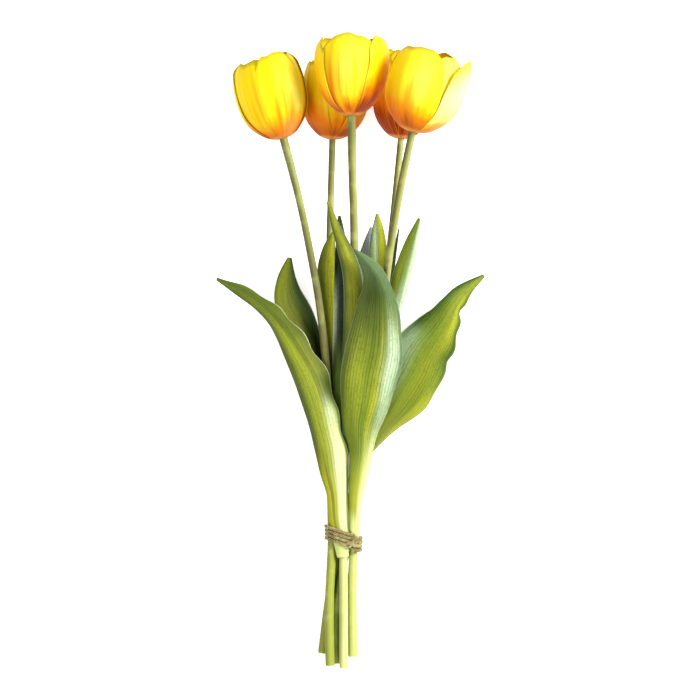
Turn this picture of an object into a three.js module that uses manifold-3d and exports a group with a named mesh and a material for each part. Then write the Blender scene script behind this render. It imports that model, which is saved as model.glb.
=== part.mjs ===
// A tied bunch of five cut tulips, lying on its back on a flat surface.
// Millimetres. +Y runs from the cut ends to the blooms and +Z points up, away from the surface.
// The origin is the middle of the bunch's box, on the surface it lies on.

import * as THREE from 'three';
import { LoftGeometry } from 'three/addons/geometries/LoftGeometry.js';
import { mergeVertices } from 'three/addons/utils/BufferGeometryUtils.js';
import Module from 'manifold-3d';

const wasm = await Module();
wasm.setup();

// Driving dimensions.
const SEAT_GAP = 0.3;
const LEAF_EDGE = 0.8;
const LEAF_MIDRIB = 1.4;
const MARGIN_OFFSET = 1.9;
const PETAL_EDGE = 0.9;
const PETAL_FOOT = 1.5;
const PETAL_LAYER_GAP = 1.6;
const PETAL_TWIST = 0.3;
const PETAL_STEPS = 6;
const STEM_SIDES = 8;
const STEM_STEPS = 14;
const RECEPTACLE_RADIUS = 4.6;
const RECEPTACLE_HEIGHT = 5.2;
const RECEPTACLE_SINK = 0.9;
const KNOB_FACES = [8, 6];
const PISTIL_LENGTH = 21;
const STAMEN_LENGTH = 17;
const TWINE_WIDTH = 2.2;
const TWINE_THICKNESS = 1.0;
const TWINE_TURNS = 4;
const TWINE_PITCH = 2.7;
const TWINE_STEPS_PER_TURN = 16;
const TWINE_SIDES = 5;
const KNOT_ANGLE = 1.3;
const BUNDLE_MIDDLE_X = -5;
const BUNDLE_HALF_WIDTH = 12;
const TIE_TOP_Y = -127.4;
const TIE_SLOPE = 0.4;
const TWINE_SLACK = 0.5;
const KNOT_MIDDLE = [-0.8, -135.2, 19.4];
const KNOT_RADII = [2.9, 2.4, 1.8];
const KNOT_TURN = -0.5;
const TWINE_ENDS = [
  [[-0.8, -135.2, 19.6, 0.9], [1.6, -132.6, 20.6, 0.8], [4.0, -130.2, 20.8, 0.6]],
  [[-0.4, -135.6, 19.6, 0.9], [3.2, -136.6, 20.0, 0.8], [6.8, -136.4, 19.2, 0.6]],
];
const BUNCH_SHIFT = [0.5, 3.2, 0];
const SURFACE_SLAB = [300, 600, 40];

const RIGHT = new THREE.Vector3(1, 0, 0);
const UP = new THREE.Vector3(0, 0, 1);

// Stems, from the bloom down to the cut end: x, y, z of the middle and the radius.
const STEMS = {
  stem_1: [
    [-46.3, 144.6, 42, 2.7], [-36, 104.7, 37.2, 2.5], [-28.7, 69.7, 30.8, 2.6],
    [-22.4, 34.7, 26.7, 2.7], [-18.2, 0, 22.6, 2.8], [-15.9, -35, 18.8, 2.8], [-14.6, -70, 15.2, 2.9],
    [-13.8, -105, 12.4, 3], [-13.4, -137, 10.9, 3], [-15.2, -180, 10.4, 3.1], [-14.6, -220.9, 10, 3.1],
  ],
  stem_2: [
    [-12.9, 145.4, 21.9, 2.3], [-13.9, 110, 19.9, 2.4], [-14.7, 76, 17.3, 2.5], [-14.5, 35, 14.5, 2.6],
    [-13.5, 0, 12.3, 2.7], [-12.2, -35, 10.1, 2.8], [-11.2, -70, 8, 2.9], [-10.2, -105, 6, 2.9],
    [-9.8, -137, 4.9, 2.9], [-15.9, -178, 3.5, 3], [-20.2, -212.5, 3.1, 3.1],
  ],
  stem_3: [
    [0.3, 158.8, 68, 2.9], [1, 120, 60.8, 2.8], [2, 85, 50.7, 2.8], [2, 45, 41, 2.7], [0.4, 5, 33, 2.8],
    [-2.2, -35, 25, 2.8], [-4.4, -70, 18.2, 2.9], [-5, -105, 13.6, 3], [-5.3, -137, 11.8, 3],
    [-5.2, -180, 10.4, 3.1], [-5.1, -222.3, 9.6, 3.1],
  ],
  stem_4: [
    [34.6, 145.8, 21, 2.3], [31, 108, 19.2, 2.4], [27, 70, 16.6, 2.5], [21.8, 35, 14, 2.6],
    [16, 0, 12, 2.7], [10.2, -35, 9.9, 2.8], [5.2, -70, 7.9, 2.8], [0.6, -105, 6, 2.9],
    [-3.2, -137, 4.8, 2.9], [-10, -180, 5.7, 3], [-10, -219.5, 5.6, 3],
  ],
  stem_5: [
    [41.4, 146.9, 84.6, 2.4], [33.4, 108, 74.4, 2.5], [27.4, 72, 60, 2.6], [22.6, 35, 48.6, 2.7],
    [17.6, 0, 39.8, 2.8], [11.8, -35, 31.4, 2.8], [6.6, -70, 23.4, 2.9], [2.8, -105, 16, 2.9],
    [1.7, -137, 11.3, 3], [0.8, -176, 7, 3.3], [1.3, -214.6, 6.2, 3.2],
  ],
};

// Leaves, from the clasping foot to the tip. Each row is x, y, z of the midrib, half the width
// seen from the front, how far each half bends round the midrib and where the outer side
// faces, both in degrees: 0 faces up, 90 to the right and 180 down. The wave is the ripple of
// the two margins up and down, and the frill is the right margin's stepping in and out: the
// height, how many there are along the leaf and where they start.
const LEAVES = {
  leaf_front_left: {
    across: 6, along: 26, wave: [1.1, 3.2, 0.4], frill: [1.2, 8.5, 2.9],
    rows: [
      [-5.6, -144.6, 16.8, 3.9, 55, 0], [-7.2, -131, 17.8, 5.4, 38, 0], [-9.3, -117, 19.2, 6, 36, 0],
      [-10.2, -101, 21.2, 6.6, 40, 0], [-12.4, -85, 24.2, 9.2, 44, 0], [-14.8, -68, 27.4, 10.6, 46, 0],
      [-18.8, -52, 29.2, 10.6, 46, -2], [-23.2, -35.4, 30.6, 11.6, 44, -4],
      [-29.4, -17.9, 30.8, 11.6, 42, -8], [-37.4, -2.5, 29.6, 10.4, 42, -12],
      [-45.5, 11.6, 27.6, 8.8, 42, -14], [-54.3, 23, 25.4, 6.6, 44, -14],
      [-65, 32.8, 22.4, 5.2, 46, -12], [-79, 41.6, 18.6, 3.9, 46, -10],
      [-93.6, 49.2, 14.4, 1.1, 40, -10],
    ],
  },
  leaf_back_left: {
    across: 4, along: 12, wave: [0.7, 2, 1.2],
    rows: [
      [-20.2, -36, 17.4, 3.2, 70, -110], [-22, -20, 15.8, 4.2, 62, -125],
      [-25.6, -7, 14.4, 6.2, 50, -145], [-30.6, 6.7, 14, 9.6, 42, -160],
      [-37.4, 20.7, 13.5, 11.6, 40, -165], [-44.2, 35, 14.5, 11, 42, -165],
      [-45.4, 48.7, 16.6, 7.4, 44, -165], [-42.8, 64, 18, 1.5, 40, -165],
    ],
  },
  leaf_mid_left: {
    across: 4, along: 10, wave: [0.5, 2, 0.2],
    rows: [
      [-12.4, -28, 14.6, 3.2, 74, 0], [-13, -8, 17, 4.1, 52, 0], [-14.2, 14, 19.2, 6.2, 42, 0],
      [-15.4, 35, 20.9, 7.2, 40, 0], [-16.6, 53, 22.8, 7, 40, 0], [-15.4, 69, 24.4, 4.6, 42, 0],
      [-12.2, 81.4, 25.8, 0.9, 40, 0],
    ],
  },
  leaf_centre: {
    across: 4, along: 14, wave: [0.5, 2.4, 2],
    rows: [
      [-3.4, -46, 27.1, 3.2, 72, 0], [-2, -20, 32.8, 4.6, 52, 0], [0, 6, 38.9, 5.7, 44, 0],
      [1.6, 32, 45.4, 6.4, 40, 0], [0.6, 52, 49.8, 6.3, 40, 0], [-4.4, 69, 52.2, 4.9, 44, 0],
      [-10.6, 85, 52.4, 2.9, 46, 0], [-16, 101.8, 50.6, 0.8, 40, 0],
    ],
  },
  leaf_front: {
    across: 6, along: 18, wave: [1, 2.6, 3.2], frill: [0.6, 5.5, 1],
    rows: [
      [2, -134, 16, 3.7, 80, 0], [2.2, -119, 18, 3.9, 84, 0], [2.9, -105, 20.7, 4.5, 84, 0],
      [4.8, -88, 24.6, 6.4, 74, 0], [6.6, -71, 29.2, 8.2, 66, 0], [7, -53, 34.4, 13.2, 55, 0],
      [10.4, -35, 39.4, 18, 50, 2], [13, -18, 44.4, 19.9, 47, 3], [16.2, -2, 49.4, 20, 45, 4],
      [17.8, 14, 53.8, 17.2, 44, 5], [18.4, 29, 57.8, 13.8, 44, 5], [17.8, 42, 61.4, 10.2, 44, 2],
      [13.4, 55, 64.2, 6, 46, 0], [2.2, 68.6, 65.4, 0.9, 40, 0],
    ],
  },
  leaf_behind_centre: {
    across: 4, along: 10, wave: [0.4, 2, 0.6],
    rows: [
      [-8.3, -62, 14.6, 2.6, 56, 180], [-8, -36, 19, 3.9, 46, 180], [-7.6, -12, 23, 5, 42, 180],
      [-7.2, 12, 26.6, 5.2, 40, 180], [-6.6, 35, 29.6, 5.2, 40, 175], [-6.2, 57, 32.6, 4.9, 40, 170],
      [-6.6, 76, 35.2, 3.5, 42, 165], [-8, 92.6, 36.8, 0.9, 40, 165],
    ],
  },
  leaf_back_centre: {
    across: 4, along: 9, wave: [0.4, 1.8, 0.9],
    rows: [
      [10.6, -20, 14.6, 3, 66, -25], [8.8, 0, 16.8, 4, 48, -15], [7.2, 20, 18.6, 4.8, 42, -5],
      [7.6, 40, 21.2, 5.4, 40, 0], [8.6, 58, 22.4, 5, 40, 0], [11.2, 72, 23, 3.2, 42, 0],
      [14.2, 85, 23.4, 0.9, 40, 0],
    ],
  },
  leaf_right_centre: {
    across: 4, along: 9, wave: [0.5, 2, 2.4],
    rows: [
      [16.6, 6, 16.4, 3, 70, 0], [18, 22, 21.8, 4.6, 46, 0], [18.8, 38, 26.6, 5.5, 36, 0],
      [19, 53, 29.8, 6, 32, 0], [18.9, 68, 31.8, 5.9, 32, 0], [18.7, 82, 33, 4.2, 34, 0],
      [18.2, 94, 33.6, 0.9, 34, 0],
    ],
  },
  leaf_right_thin: {
    across: 4, along: 9, wave: [0.4, 1.8, 0.3],
    rows: [
      [17.2, -20, 11.6, 3, 64, 90], [20.4, -4, 15, 3.4, 50, 82], [23.6, 12, 18.4, 3.8, 44, 78],
      [26, 30, 21, 4.2, 38, 76], [29, 50, 25.8, 4.2, 36, 76], [31.2, 68, 30.4, 3.2, 36, 76],
      [33.2, 83.8, 34.6, 0.9, 36, 76],
    ],
  },
  leaf_upper_right: {
    across: 4, along: 10, wave: [0.5, 2.2, 1.6],
    rows: [
      [16.8, -30, 28.6, 3.2, 68, 115], [20.8, -12, 31, 4.4, 50, 95], [25, 6, 34.4, 5.6, 42, 60],
      [28.6, 24, 39.4, 6.4, 38, 30], [33, 41, 42.6, 6.4, 38, 15], [37.2, 57, 45.4, 6.2, 38, 10],
      [42, 74, 48, 4.4, 40, 8], [47, 90.4, 50.2, 0.9, 38, 8],
    ],
  },
  leaf_right: {
    across: 6, along: 20, wave: [1.3, 3.4, 1], frill: [0.9, 7, 0.6],
    rows: [
      [5.6, -86, 10.4, 3.7, 74, 50], [12.8, -68.3, 13.3, 7.3, 52, 34], [22.4, -50.5, 17.2, 14, 38, 24],
      [32.3, -35.1, 21.2, 20.2, 32, 18], [41.8, -19.4, 25, 22.4, 29, 15],
      [49.8, -3.1, 28.2, 20.9, 28, 14], [57.8, 8.6, 30.6, 17.4, 29, 14],
      [64.6, 19.4, 31.8, 12.8, 30, 14], [69.8, 29.6, 31.6, 8.8, 34, 14], [77.6, 39.4, 29, 6, 38, 12],
      [92.4, 51.4, 23.6, 1.1, 36, 10],
    ],
  },
};

// Blooms: the middle of the foot, the direction that the cup points in, its length and its
// greatest radius, the shape of its side, how far its mouth is drawn in, how far it is turned
// and how wide its outer petals are. Reach is each petal's part of the length. Width widens or
// narrows single petals, lean opens them outwards, swing turns them round the cup and curl
// bends their tips out: 0 to 2 are the outer petals, at the right, back and left of an unturned
// bloom, and 3 to 5 the inner ones, at the front, back right and back left.
const BLOOMS = {
  bloom_1: {
    foot: [-47.3, 146.1, 42.2], aim: [-0.24, 1, 0.04], length: 64, radius: 23.3, cup: 'round', mouth: 1.01,
    turn: -42, outer: ['even', 'broad', 'slim'], reach: [0.93, 0.92, 0.87, 0.89, 0.9, 0.9],
    width: { 2: 0.95 }, lean: { 2: 1.5, 3: 2 }, swing: { 2: -8 }, curl: {},
  },
  bloom_2: {
    foot: [-12.9, 146.6, 21.8], aim: [0.05, 1, 0.02], length: 57, radius: 21.6, cup: 'round', mouth: 1,
    turn: 8, outer: ['slim', 'slim', 'slim'], reach: [0.93, 0.95, 0.95, 0.98, 1, 0.98],
    width: {}, lean: { 0: 3 }, swing: {}, curl: { 2: 3 },
  },
  bloom_3: {
    foot: [0.3, 160.6, 68.4], aim: [0, 1, 0.06], length: 56.4, radius: 24.8, cup: 'open', mouth: 1,
    turn: -4, outer: ['slim', 'broad', 'even'], reach: [0.97, 0.92, 0.95, 1, 0.95, 0.95],
    width: {}, lean: {}, swing: { 0: 10, 2: -22 }, curl: {},
  },
  bloom_4: {
    foot: [34.7, 147, 21.1], aim: [0.08, 1, 0.02], length: 62, radius: 21.6, cup: 'round', mouth: 0.95,
    turn: -4, outer: ['slim', 'slim', 'slim'], reach: [0.97, 0.97, 0.97, 1, 1, 1],
    width: {}, lean: {}, swing: {}, curl: {},
  },
  bloom_5: {
    foot: [41.8, 148.6, 85], aim: [0.26, 1, 0.06], length: 62.6, radius: 24.8, cup: 'round', mouth: 0.98,
    turn: 35, outer: ['broad', 'broad', 'broad'], reach: [0.89, 0.9, 0.925, 0.885, 0.92, 0.88],
    width: { 0: 0.97, 2: 1.04 }, lean: { 0: 6 }, swing: { 0: -15, 3: 12 }, curl: { 0: 2.2 },
  },
};

// The side of a cup, from foot to mouth: height against its length and radius against its
// greatest radius.
const CUPS = {
  round: [
    [0.0, 0.12], [0.03, 0.36], [0.1, 0.58], [0.2, 0.79], [0.34, 0.935],
    [0.52, 1.0], [0.71, 0.99], [0.88, 0.9], [1.0, 0.74],
  ],
  open: [
    [0.0, 0.11], [0.03, 0.3], [0.1, 0.51], [0.2, 0.71], [0.34, 0.86],
    [0.52, 0.96], [0.71, 1.0], [0.88, 0.93], [1.0, 0.74],
  ],
};

// Half the angle that a petal covers round the cup, from its foot to its tip, in degrees.
const OUTER_PETAL_SPREAD = {
  broad: [[58], [57], [56], [55], [54], [52], [49], [45]],
  even: [[44], [43], [42], [41], [40], [39], [37], [34]],
  slim: [[58], [52], [47], [43], [40], [37], [36], [36]],
};
const INNER_PETAL_SPREAD = [[50], [54], [56], [56], [55], [53], [50], [44]];

// The top edge of a petal is an arch, and the inner petals curl in there and the outer ones out.
const PETAL_SHOULDER = 0.14;
const PETAL_ROUNDNESS = 3;
const PETAL_TIP_START = 0.62;
const INNER_TIP_CURL = -0.6;
const OUTER_TIP_CURL = 0.5;

// A smooth curve through evenly spaced rows of numbers.
function along(rows, t) {
  const last = rows.length - 1;
  const place = Math.min(Math.max(t, 0), 1) * last;
  const i = Math.min(Math.floor(place), last - 1);
  const f = place - i;
  const before = rows[Math.max(i - 1, 0)];
  const start = rows[i];
  const end = rows[i + 1];
  const after = rows[Math.min(i + 2, last)];
  return start.map((value, k) => {
    const rise = (end[k] - before[k]) / 2;
    const fall = (after[k] - value) / 2;
    const square = f * f;
    const cube = square * f;
    return (2 * cube - 3 * square + 1) * value + (cube - 2 * square + f) * rise
      + (3 * square - 2 * cube) * end[k] + (cube - square) * fall;
  });
}

const vector = (numbers) => new THREE.Vector3(numbers[0], numbers[1], numbers[2]);
const radians = THREE.MathUtils.degToRad;

// Two directions across a line that runs along `way`: to the right, and up from the surface.
function crossFrame(way) {
  const side = new THREE.Vector3().crossVectors(way, UP);
  if (side.lengthSq() < 1e-6) side.copy(RIGHT);
  side.normalize();
  return { side, front: new THREE.Vector3().crossVectors(side, way).normalize() };
}

function directionAlong(rows, t) {
  const step = 0.004;
  const after = vector(along(rows, Math.min(t + step, 1)));
  return after.sub(vector(along(rows, Math.max(t - step, 0)))).normalize();
}

// A closed blade round a surface: point(u, t) with u from -1 to 1 across and t from 0 to 1
// along. Both faces are split into triangles alike, so a waved blade never cuts itself.
function bladeGeometry(point, thickness, across, lengthwise) {
  const step = 1e-3;
  const faces = [[], []];
  for (let j = 0; j <= lengthwise; j++) {
    for (let i = 0; i <= across; i++) {
      const u = -1 + (2 * i) / across;
      const t = j / lengthwise;
      const uStep = u + step > 1 ? -step : step;
      const tStep = t + step > 1 ? -step : step;
      const here = point(u, t);
      const sideways = point(u + uStep, t).sub(here).divideScalar(uStep);
      const lengthways = point(u, t + tStep).sub(here).divideScalar(tStep);
      const normal = sideways.cross(lengthways).normalize().multiplyScalar(thickness(u, t) / 2);
      faces[0].push(here.clone().add(normal));
      faces[1].push(here.sub(normal));
    }
  }
  const row = across + 1;
  const other = faces[0].length;
  const index = [];
  for (let j = 0; j < lengthwise; j++) {
    for (let i = 0; i < across; i++) {
      const a = j * row + i;
      const [b, c, d] = [a + 1, a + row + 1, a + row];
      index.push(a, b, c, a, c, d);
      index.push(other + a, other + c, other + b, other + a, other + d, other + c);
    }
  }
  const rim = [];
  for (let i = 0; i < across; i++) rim.push(i);
  for (let j = 0; j < lengthwise; j++) rim.push(j * row + across);
  for (let i = across; i > 0; i--) rim.push(lengthwise * row + i);
  for (let j = lengthwise; j > 0; j--) rim.push(j * row);
  rim.forEach((a, k) => {
    const b = rim[(k + 1) % rim.length];
    index.push(a, other + a, other + b, a, other + b, b);
  });
  const geometry = new THREE.BufferGeometry();
  geometry.setAttribute('position', new THREE.Float32BufferAttribute(
    [...faces[0], ...faces[1]].flatMap((p) => [p.x, p.y, p.z]), 3));
  geometry.setIndex(index);
  return geometry;
}

// A round tube, thicker or thinner along its way, with closed ends.
function tubeGeometry(rows, sides, steps) {
  const sections = [];
  for (let j = 0; j <= steps; j++) {
    const t = j / steps;
    const here = along(rows, t);
    const { side, front } = crossFrame(directionAlong(rows, t));
    const ring = [];
    for (let k = 0; k < sides; k++) {
      const angle = (2 * Math.PI * k) / sides;
      ring.push(vector(here)
        .addScaledVector(side, Math.sin(angle) * here[3])
        .addScaledVector(front, Math.cos(angle) * here[3]));
    }
    sections.push(ring);
  }
  return new LoftGeometry(sections, { capStart: true, capEnd: true });
}

function solidOf(geometry) {
  const plain = new THREE.BufferGeometry().copy(geometry);
  plain.deleteAttribute('normal');
  plain.deleteAttribute('uv');
  const merged = mergeVertices(plain, 1e-4);
  const mesh = new wasm.Mesh({
    numProp: 3,
    vertProperties: new Float32Array(merged.attributes.position.array),
    triVerts: new Uint32Array(merged.index.array),
  });
  const solid = new wasm.Manifold(mesh);
  if (solid.volume() > 0) return solid;
  const turned = new Uint32Array(merged.index.array).reverse();
  return new wasm.Manifold(new wasm.Mesh({
    numProp: 3, vertProperties: new Float32Array(merged.attributes.position.array), triVerts: turned,
  }));
}

const joined = (solids) => solids.reduce((whole, piece) => whole.add(piece));

function geometryOf(solid) {
  const mesh = solid.getMesh();
  const geometry = new THREE.BufferGeometry();
  geometry.setAttribute('position', new THREE.Float32BufferAttribute(mesh.vertProperties, 3));
  geometry.setIndex(new THREE.Uint32BufferAttribute(mesh.triVerts, 1));
  geometry.computeVertexNormals();
  return geometry;
}

// A leaf's middle surface: a channel bent round its midrib, with rippled margins.
function leafSurface({ rows, wave, frill = [0, 0, 0] }) {
  const [height, count, start] = wave;
  const [frillHeight, frillCount, frillStart] = frill;
  return (u, t) => {
    const row = along(rows, t);
    const [halfWidth, bend, facing] = [row[3], radians(row[4]), radians(row[5])];
    const { side, front } = crossFrame(directionAlong(rows, t));
    const outward = front.clone().multiplyScalar(Math.cos(facing)).addScaledVector(side, Math.sin(facing));
    const sideways = side.clone().multiplyScalar(Math.cos(facing)).addScaledVector(front, -Math.sin(facing));
    const roundness = halfWidth / Math.sin(bend);
    const full = Math.min(halfWidth / 8, 1);
    const ripple = height * full * u * u
      * Math.sin(2 * Math.PI * count * t + start + (u > 0 ? 0 : MARGIN_OFFSET));
    const step = frillHeight * full * Math.max(u, 0) ** 3
      * Math.sin(2 * Math.PI * frillCount * t + frillStart);
    return vector(row)
      .addScaledVector(sideways, roundness * Math.sin(u * bend) + step)
      .addScaledVector(outward, ripple - roundness * (1 - Math.cos(u * bend)));
  };
}

const leafThickness = (u) => LEAF_MIDRIB + (LEAF_EDGE - LEAF_MIDRIB) * u * u;
const leafSolid = (leaf) => solidOf(bladeGeometry(leafSurface(leaf), leafThickness, leaf.across, leaf.along));

function bloomFrame({ foot, aim, turn }) {
  const axis = vector(aim).normalize();
  const { side, front } = crossFrame(axis);
  return { foot: vector(foot), axis, side, front, turn: radians(turn) };
}

// One petal of a cup. Outer petals are numbers 0 to 2 and inner petals 3 to 5.
function petalSolid(bloom, number) {
  const inner = number > 2;
  const { foot, axis, side, front, turn } = bloomFrame(bloom);
  const station = inner ? 120 * (number - 3) : 60 + 120 * number;
  const azimuth = turn + radians(station + (bloom.swing[number] ?? 0));
  const out = front.clone().multiplyScalar(Math.cos(azimuth)).addScaledVector(side, Math.sin(azimuth));
  const around = side.clone().multiplyScalar(Math.cos(azimuth)).addScaledVector(front, -Math.sin(azimuth));
  const spread = inner ? INNER_PETAL_SPREAD : OUTER_PETAL_SPREAD[bloom.outer[number]];
  const reach = bloom.length * bloom.reach[number];
  const lean = bloom.lean[number] ?? 0;
  const width = bloom.width[number] ?? 1;
  const curl = bloom.curl[number] ?? (inner ? INNER_TIP_CURL : OUTER_TIP_CURL);
  const point = (u, t) => {
    const rise = t * (1 - PETAL_SHOULDER * Math.abs(u) ** PETAL_ROUNDNESS);
    const [heightPart, radiusPart] = along(CUPS[bloom.cup], rise);
    const layer = (PETAL_LAYER_GAP / 2) * (inner ? -1 : 1);
    const radius = bloom.radius * radiusPart * (1 + (bloom.mouth - 1) * rise * rise);
    const angle = u * width * radians(along(spread, rise)[0]);
    const top = Math.max(rise - PETAL_TIP_START, 0) / (1 - PETAL_TIP_START);
    const twist = inner ? 0 : PETAL_TWIST * u * rise;
    const outwards = layer + twist + lean * rise ** 1.5 + curl * top * top;
    return foot.clone()
      .addScaledVector(axis, reach * heightPart)
      .addScaledVector(out, radius * Math.cos(angle) + outwards)
      .addScaledVector(around, (radius + layer) * Math.sin(angle));
  };
  const thickness = (u, t) => PETAL_EDGE + (PETAL_FOOT - PETAL_EDGE) * (1 - t) ** 3;
  return solidOf(bladeGeometry(point, thickness, PETAL_STEPS, PETAL_STEPS));
}

// The knob that the petals grow from, just above the end of the stem.
function receptacleSolid(bloom) {
  const { foot, axis, side, front } = bloomFrame(bloom);
  const knob = new THREE.SphereGeometry(1, ...KNOB_FACES);
  const place = new THREE.Matrix4().makeBasis(
    side.clone().multiplyScalar(RECEPTACLE_RADIUS),
    axis.clone().multiplyScalar(RECEPTACLE_HEIGHT / 2),
    front.clone().multiplyScalar(-RECEPTACLE_RADIUS));
  place.setPosition(foot.clone().addScaledVector(axis, RECEPTACLE_HEIGHT / 2 - RECEPTACLE_SINK));
  return solidOf(knob.applyMatrix4(place));
}

// The knob and its petals in one, with the small hollows between their feet filled.
function bloomSolid(bloom) {
  const petals = [0, 1, 2, 3, 4, 5].map((number) => petalSolid(bloom, number));
  const whole = joined([receptacleSolid(bloom), ...petals]);
  return joined(whole.decompose().filter((piece) => piece.volume() > 0));
}

// The pistil with its three-sided head and six stamens round it, joined at their feet.
function heartSolid(bloom) {
  const { foot, axis, side, front, turn } = bloomFrame(bloom);
  const floor = RECEPTACLE_HEIGHT - RECEPTACLE_SINK + SEAT_GAP;
  const place = (height, distance, azimuth) => foot.clone()
    .addScaledVector(axis, floor + height)
    .addScaledVector(front, distance * Math.cos(azimuth))
    .addScaledVector(side, distance * Math.sin(azimuth));
  const stalk = (stops, sides) => {
    const rows = stops.map(([height, distance, azimuth, radius]) => (
      [...place(height, distance, azimuth), radius]));
    return solidOf(tubeGeometry(rows, sides, stops.length - 1));
  };
  const pistil = stalk([
    [0, 0, 0, 3.0], [2.2, 0, 0, 2.6], [PISTIL_LENGTH * 0.5, 0, 0, 2.5],
    [PISTIL_LENGTH * 0.85, 0, 0, 2.0], [PISTIL_LENGTH * 0.92, 0, 0, 3.0], [PISTIL_LENGTH, 0, 0, 1.8],
  ], 6);
  const stamens = [0, 1, 2, 3, 4, 5].map((number) => {
    const azimuth = turn + radians(60 * number + 30);
    return stalk([
      [0.9, 1.6, azimuth, 0.8], [STAMEN_LENGTH * 0.42, 4.2, azimuth, 0.7],
      [STAMEN_LENGTH * 0.5, 4.8, azimuth, 1.3], [STAMEN_LENGTH, 6.6, azimuth, 0.7],
    ], 4);
  });
  return joined([pistil, ...stamens]);
}

// Where a row of numbers, read from its far end, comes down to a height y.
function partAtY(rows, y) {
  let [low, high] = [0, 1];
  const falling = rows[0][1] > rows[rows.length - 1][1];
  for (let k = 0; k < 30; k++) {
    const middle = (low + high) / 2;
    if (along(rows, middle)[1] > y === falling) low = middle;
    else high = middle;
  }
  return low;
}

// What the twine goes round at one height: the stems, and the two leaf feet outside them.
function roundsAtY(y) {
  const rounds = Object.values(STEMS).map((rows) => {
    const [x, , z, radius] = along(rows, partAtY(rows, y));
    return { x, z, radius };
  });
  for (const leaf of [LEAVES.leaf_front_left, LEAVES.leaf_front]) {
    const surface = leafSurface(leaf);
    const t = partAtY(leaf.rows, Math.max(y, leaf.rows[0][1]));
    for (const u of [-1, -0.5, 0, 0.5, 1]) {
      const { x, z } = surface(u, t);
      rounds.push({ x, z, radius: leafThickness(u) / 2 });
    }
  }
  return rounds;
}

// The twine's middle at an angle round the bundle, pulled tight over what it holds.
function twinePoint(angle, turn) {
  const nx = Math.cos(angle);
  const nz = Math.sin(angle);
  const slack = SEAT_GAP + TWINE_THICKNESS / 2 + TWINE_SLACK;
  const top = TIE_TOP_Y - TWINE_PITCH * turn;
  let y = top - TIE_SLOPE * BUNDLE_HALF_WIDTH * nx;
  let furthest;
  for (let k = 0; k < 3; k++) {
    const reach = (round) => round.x * nx + round.z * nz + round.radius;
    furthest = roundsAtY(y).reduce((best, round) => (reach(round) > reach(best) ? round : best));
    y = top - TIE_SLOPE * (furthest.x + (furthest.radius + slack) * nx - BUNDLE_MIDDLE_X);
  }
  return {
    middle: new THREE.Vector3(
      furthest.x + (furthest.radius + slack) * nx, y, furthest.z + (furthest.radius + slack) * nz),
    outward: new THREE.Vector3(nx, 0, nz),
  };
}

// Four turns of flat twine, a knot at the front right and its two short ends.
function tieSolid() {
  const steps = TWINE_TURNS * TWINE_STEPS_PER_TURN;
  const lengthways = new THREE.Vector3(0, 1, 0);
  const sections = [];
  for (let j = 0; j <= steps; j++) {
    const turn = j / TWINE_STEPS_PER_TURN;
    const { middle, outward } = twinePoint(KNOT_ANGLE + 2 * Math.PI * turn, turn);
    const ring = [];
    for (let k = 0; k < TWINE_SIDES; k++) {
      const angle = (2 * Math.PI * k) / TWINE_SIDES;
      ring.push(middle.clone()
        .addScaledVector(outward, (TWINE_THICKNESS / 2) * Math.cos(angle))
        .addScaledVector(lengthways, (TWINE_WIDTH / 2) * Math.sin(angle)));
    }
    sections.push(ring);
  }
  const turns = solidOf(new LoftGeometry(sections, { capStart: true, capEnd: true }));
  const knot = new THREE.SphereGeometry(1, ...KNOB_FACES);
  knot.scale(...KNOT_RADII);
  knot.rotateZ(KNOT_TURN);
  knot.translate(...KNOT_MIDDLE);
  const shortEnds = TWINE_ENDS.map((rows) => solidOf(tubeGeometry(rows, TWINE_SIDES, 4)));
  return joined([turns, solidOf(knot), ...shortEnds]);
}

const finish = (color, roughness) => new THREE.MeshStandardMaterial({ color, roughness, metalness: 0 });
const PETAL_FINISH = finish('#f7cf12', 0.55);
const STEM_FINISH = finish('#98a23c', 0.55);
const LEAF_FINISH = finish('#6f8f24', 0.5);
const HEART_FINISH = finish('#8f8a35', 0.7);
const TIE_FINISH = finish('#8a6a3c', 0.85);

// What would reach below the surface is pressed flat against it.
function aboveSurface(solid) {
  const slab = new THREE.BoxGeometry(...SURFACE_SLAB);
  slab.translate(0, 0, -SURFACE_SLAB[2] / 2);
  return solid.subtract(solidOf(slab));
}

const bunch = new THREE.Group();

function addPiece(name, solid, material) {
  const mesh = new THREE.Mesh(geometryOf(aboveSurface(solid).translate(BUNCH_SHIFT)), material);
  mesh.name = name;
  bunch.add(mesh);
}

for (const [name, rows] of Object.entries(STEMS)) {
  addPiece(name, solidOf(tubeGeometry(rows, STEM_SIDES, STEM_STEPS)), STEM_FINISH);
}
for (const [name, leaf] of Object.entries(LEAVES)) addPiece(name, leafSolid(leaf), LEAF_FINISH);
for (const [name, bloom] of Object.entries(BLOOMS)) {
  addPiece(name, bloomSolid(bloom), PETAL_FINISH);
  addPiece(name.replace('bloom', 'heart'), heartSolid(bloom), HEART_FINISH);
}
addPiece('tie', tieSolid(), TIE_FINISH);

export default bunch;
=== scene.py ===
"""The looks of a tied bunch of five cut tulips that lies on its back.

Sizes are worked out in millimetres, as in the part's own source, and each mesh is scaled to metres
when it is made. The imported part's solids are replaced one for one by finer pieces of the same form.
"""

import logging
import math
from dataclasses import dataclass, field
from enum import Enum
from typing import Callable, Dict, List, Optional, Sequence, Tuple, Union

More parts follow.
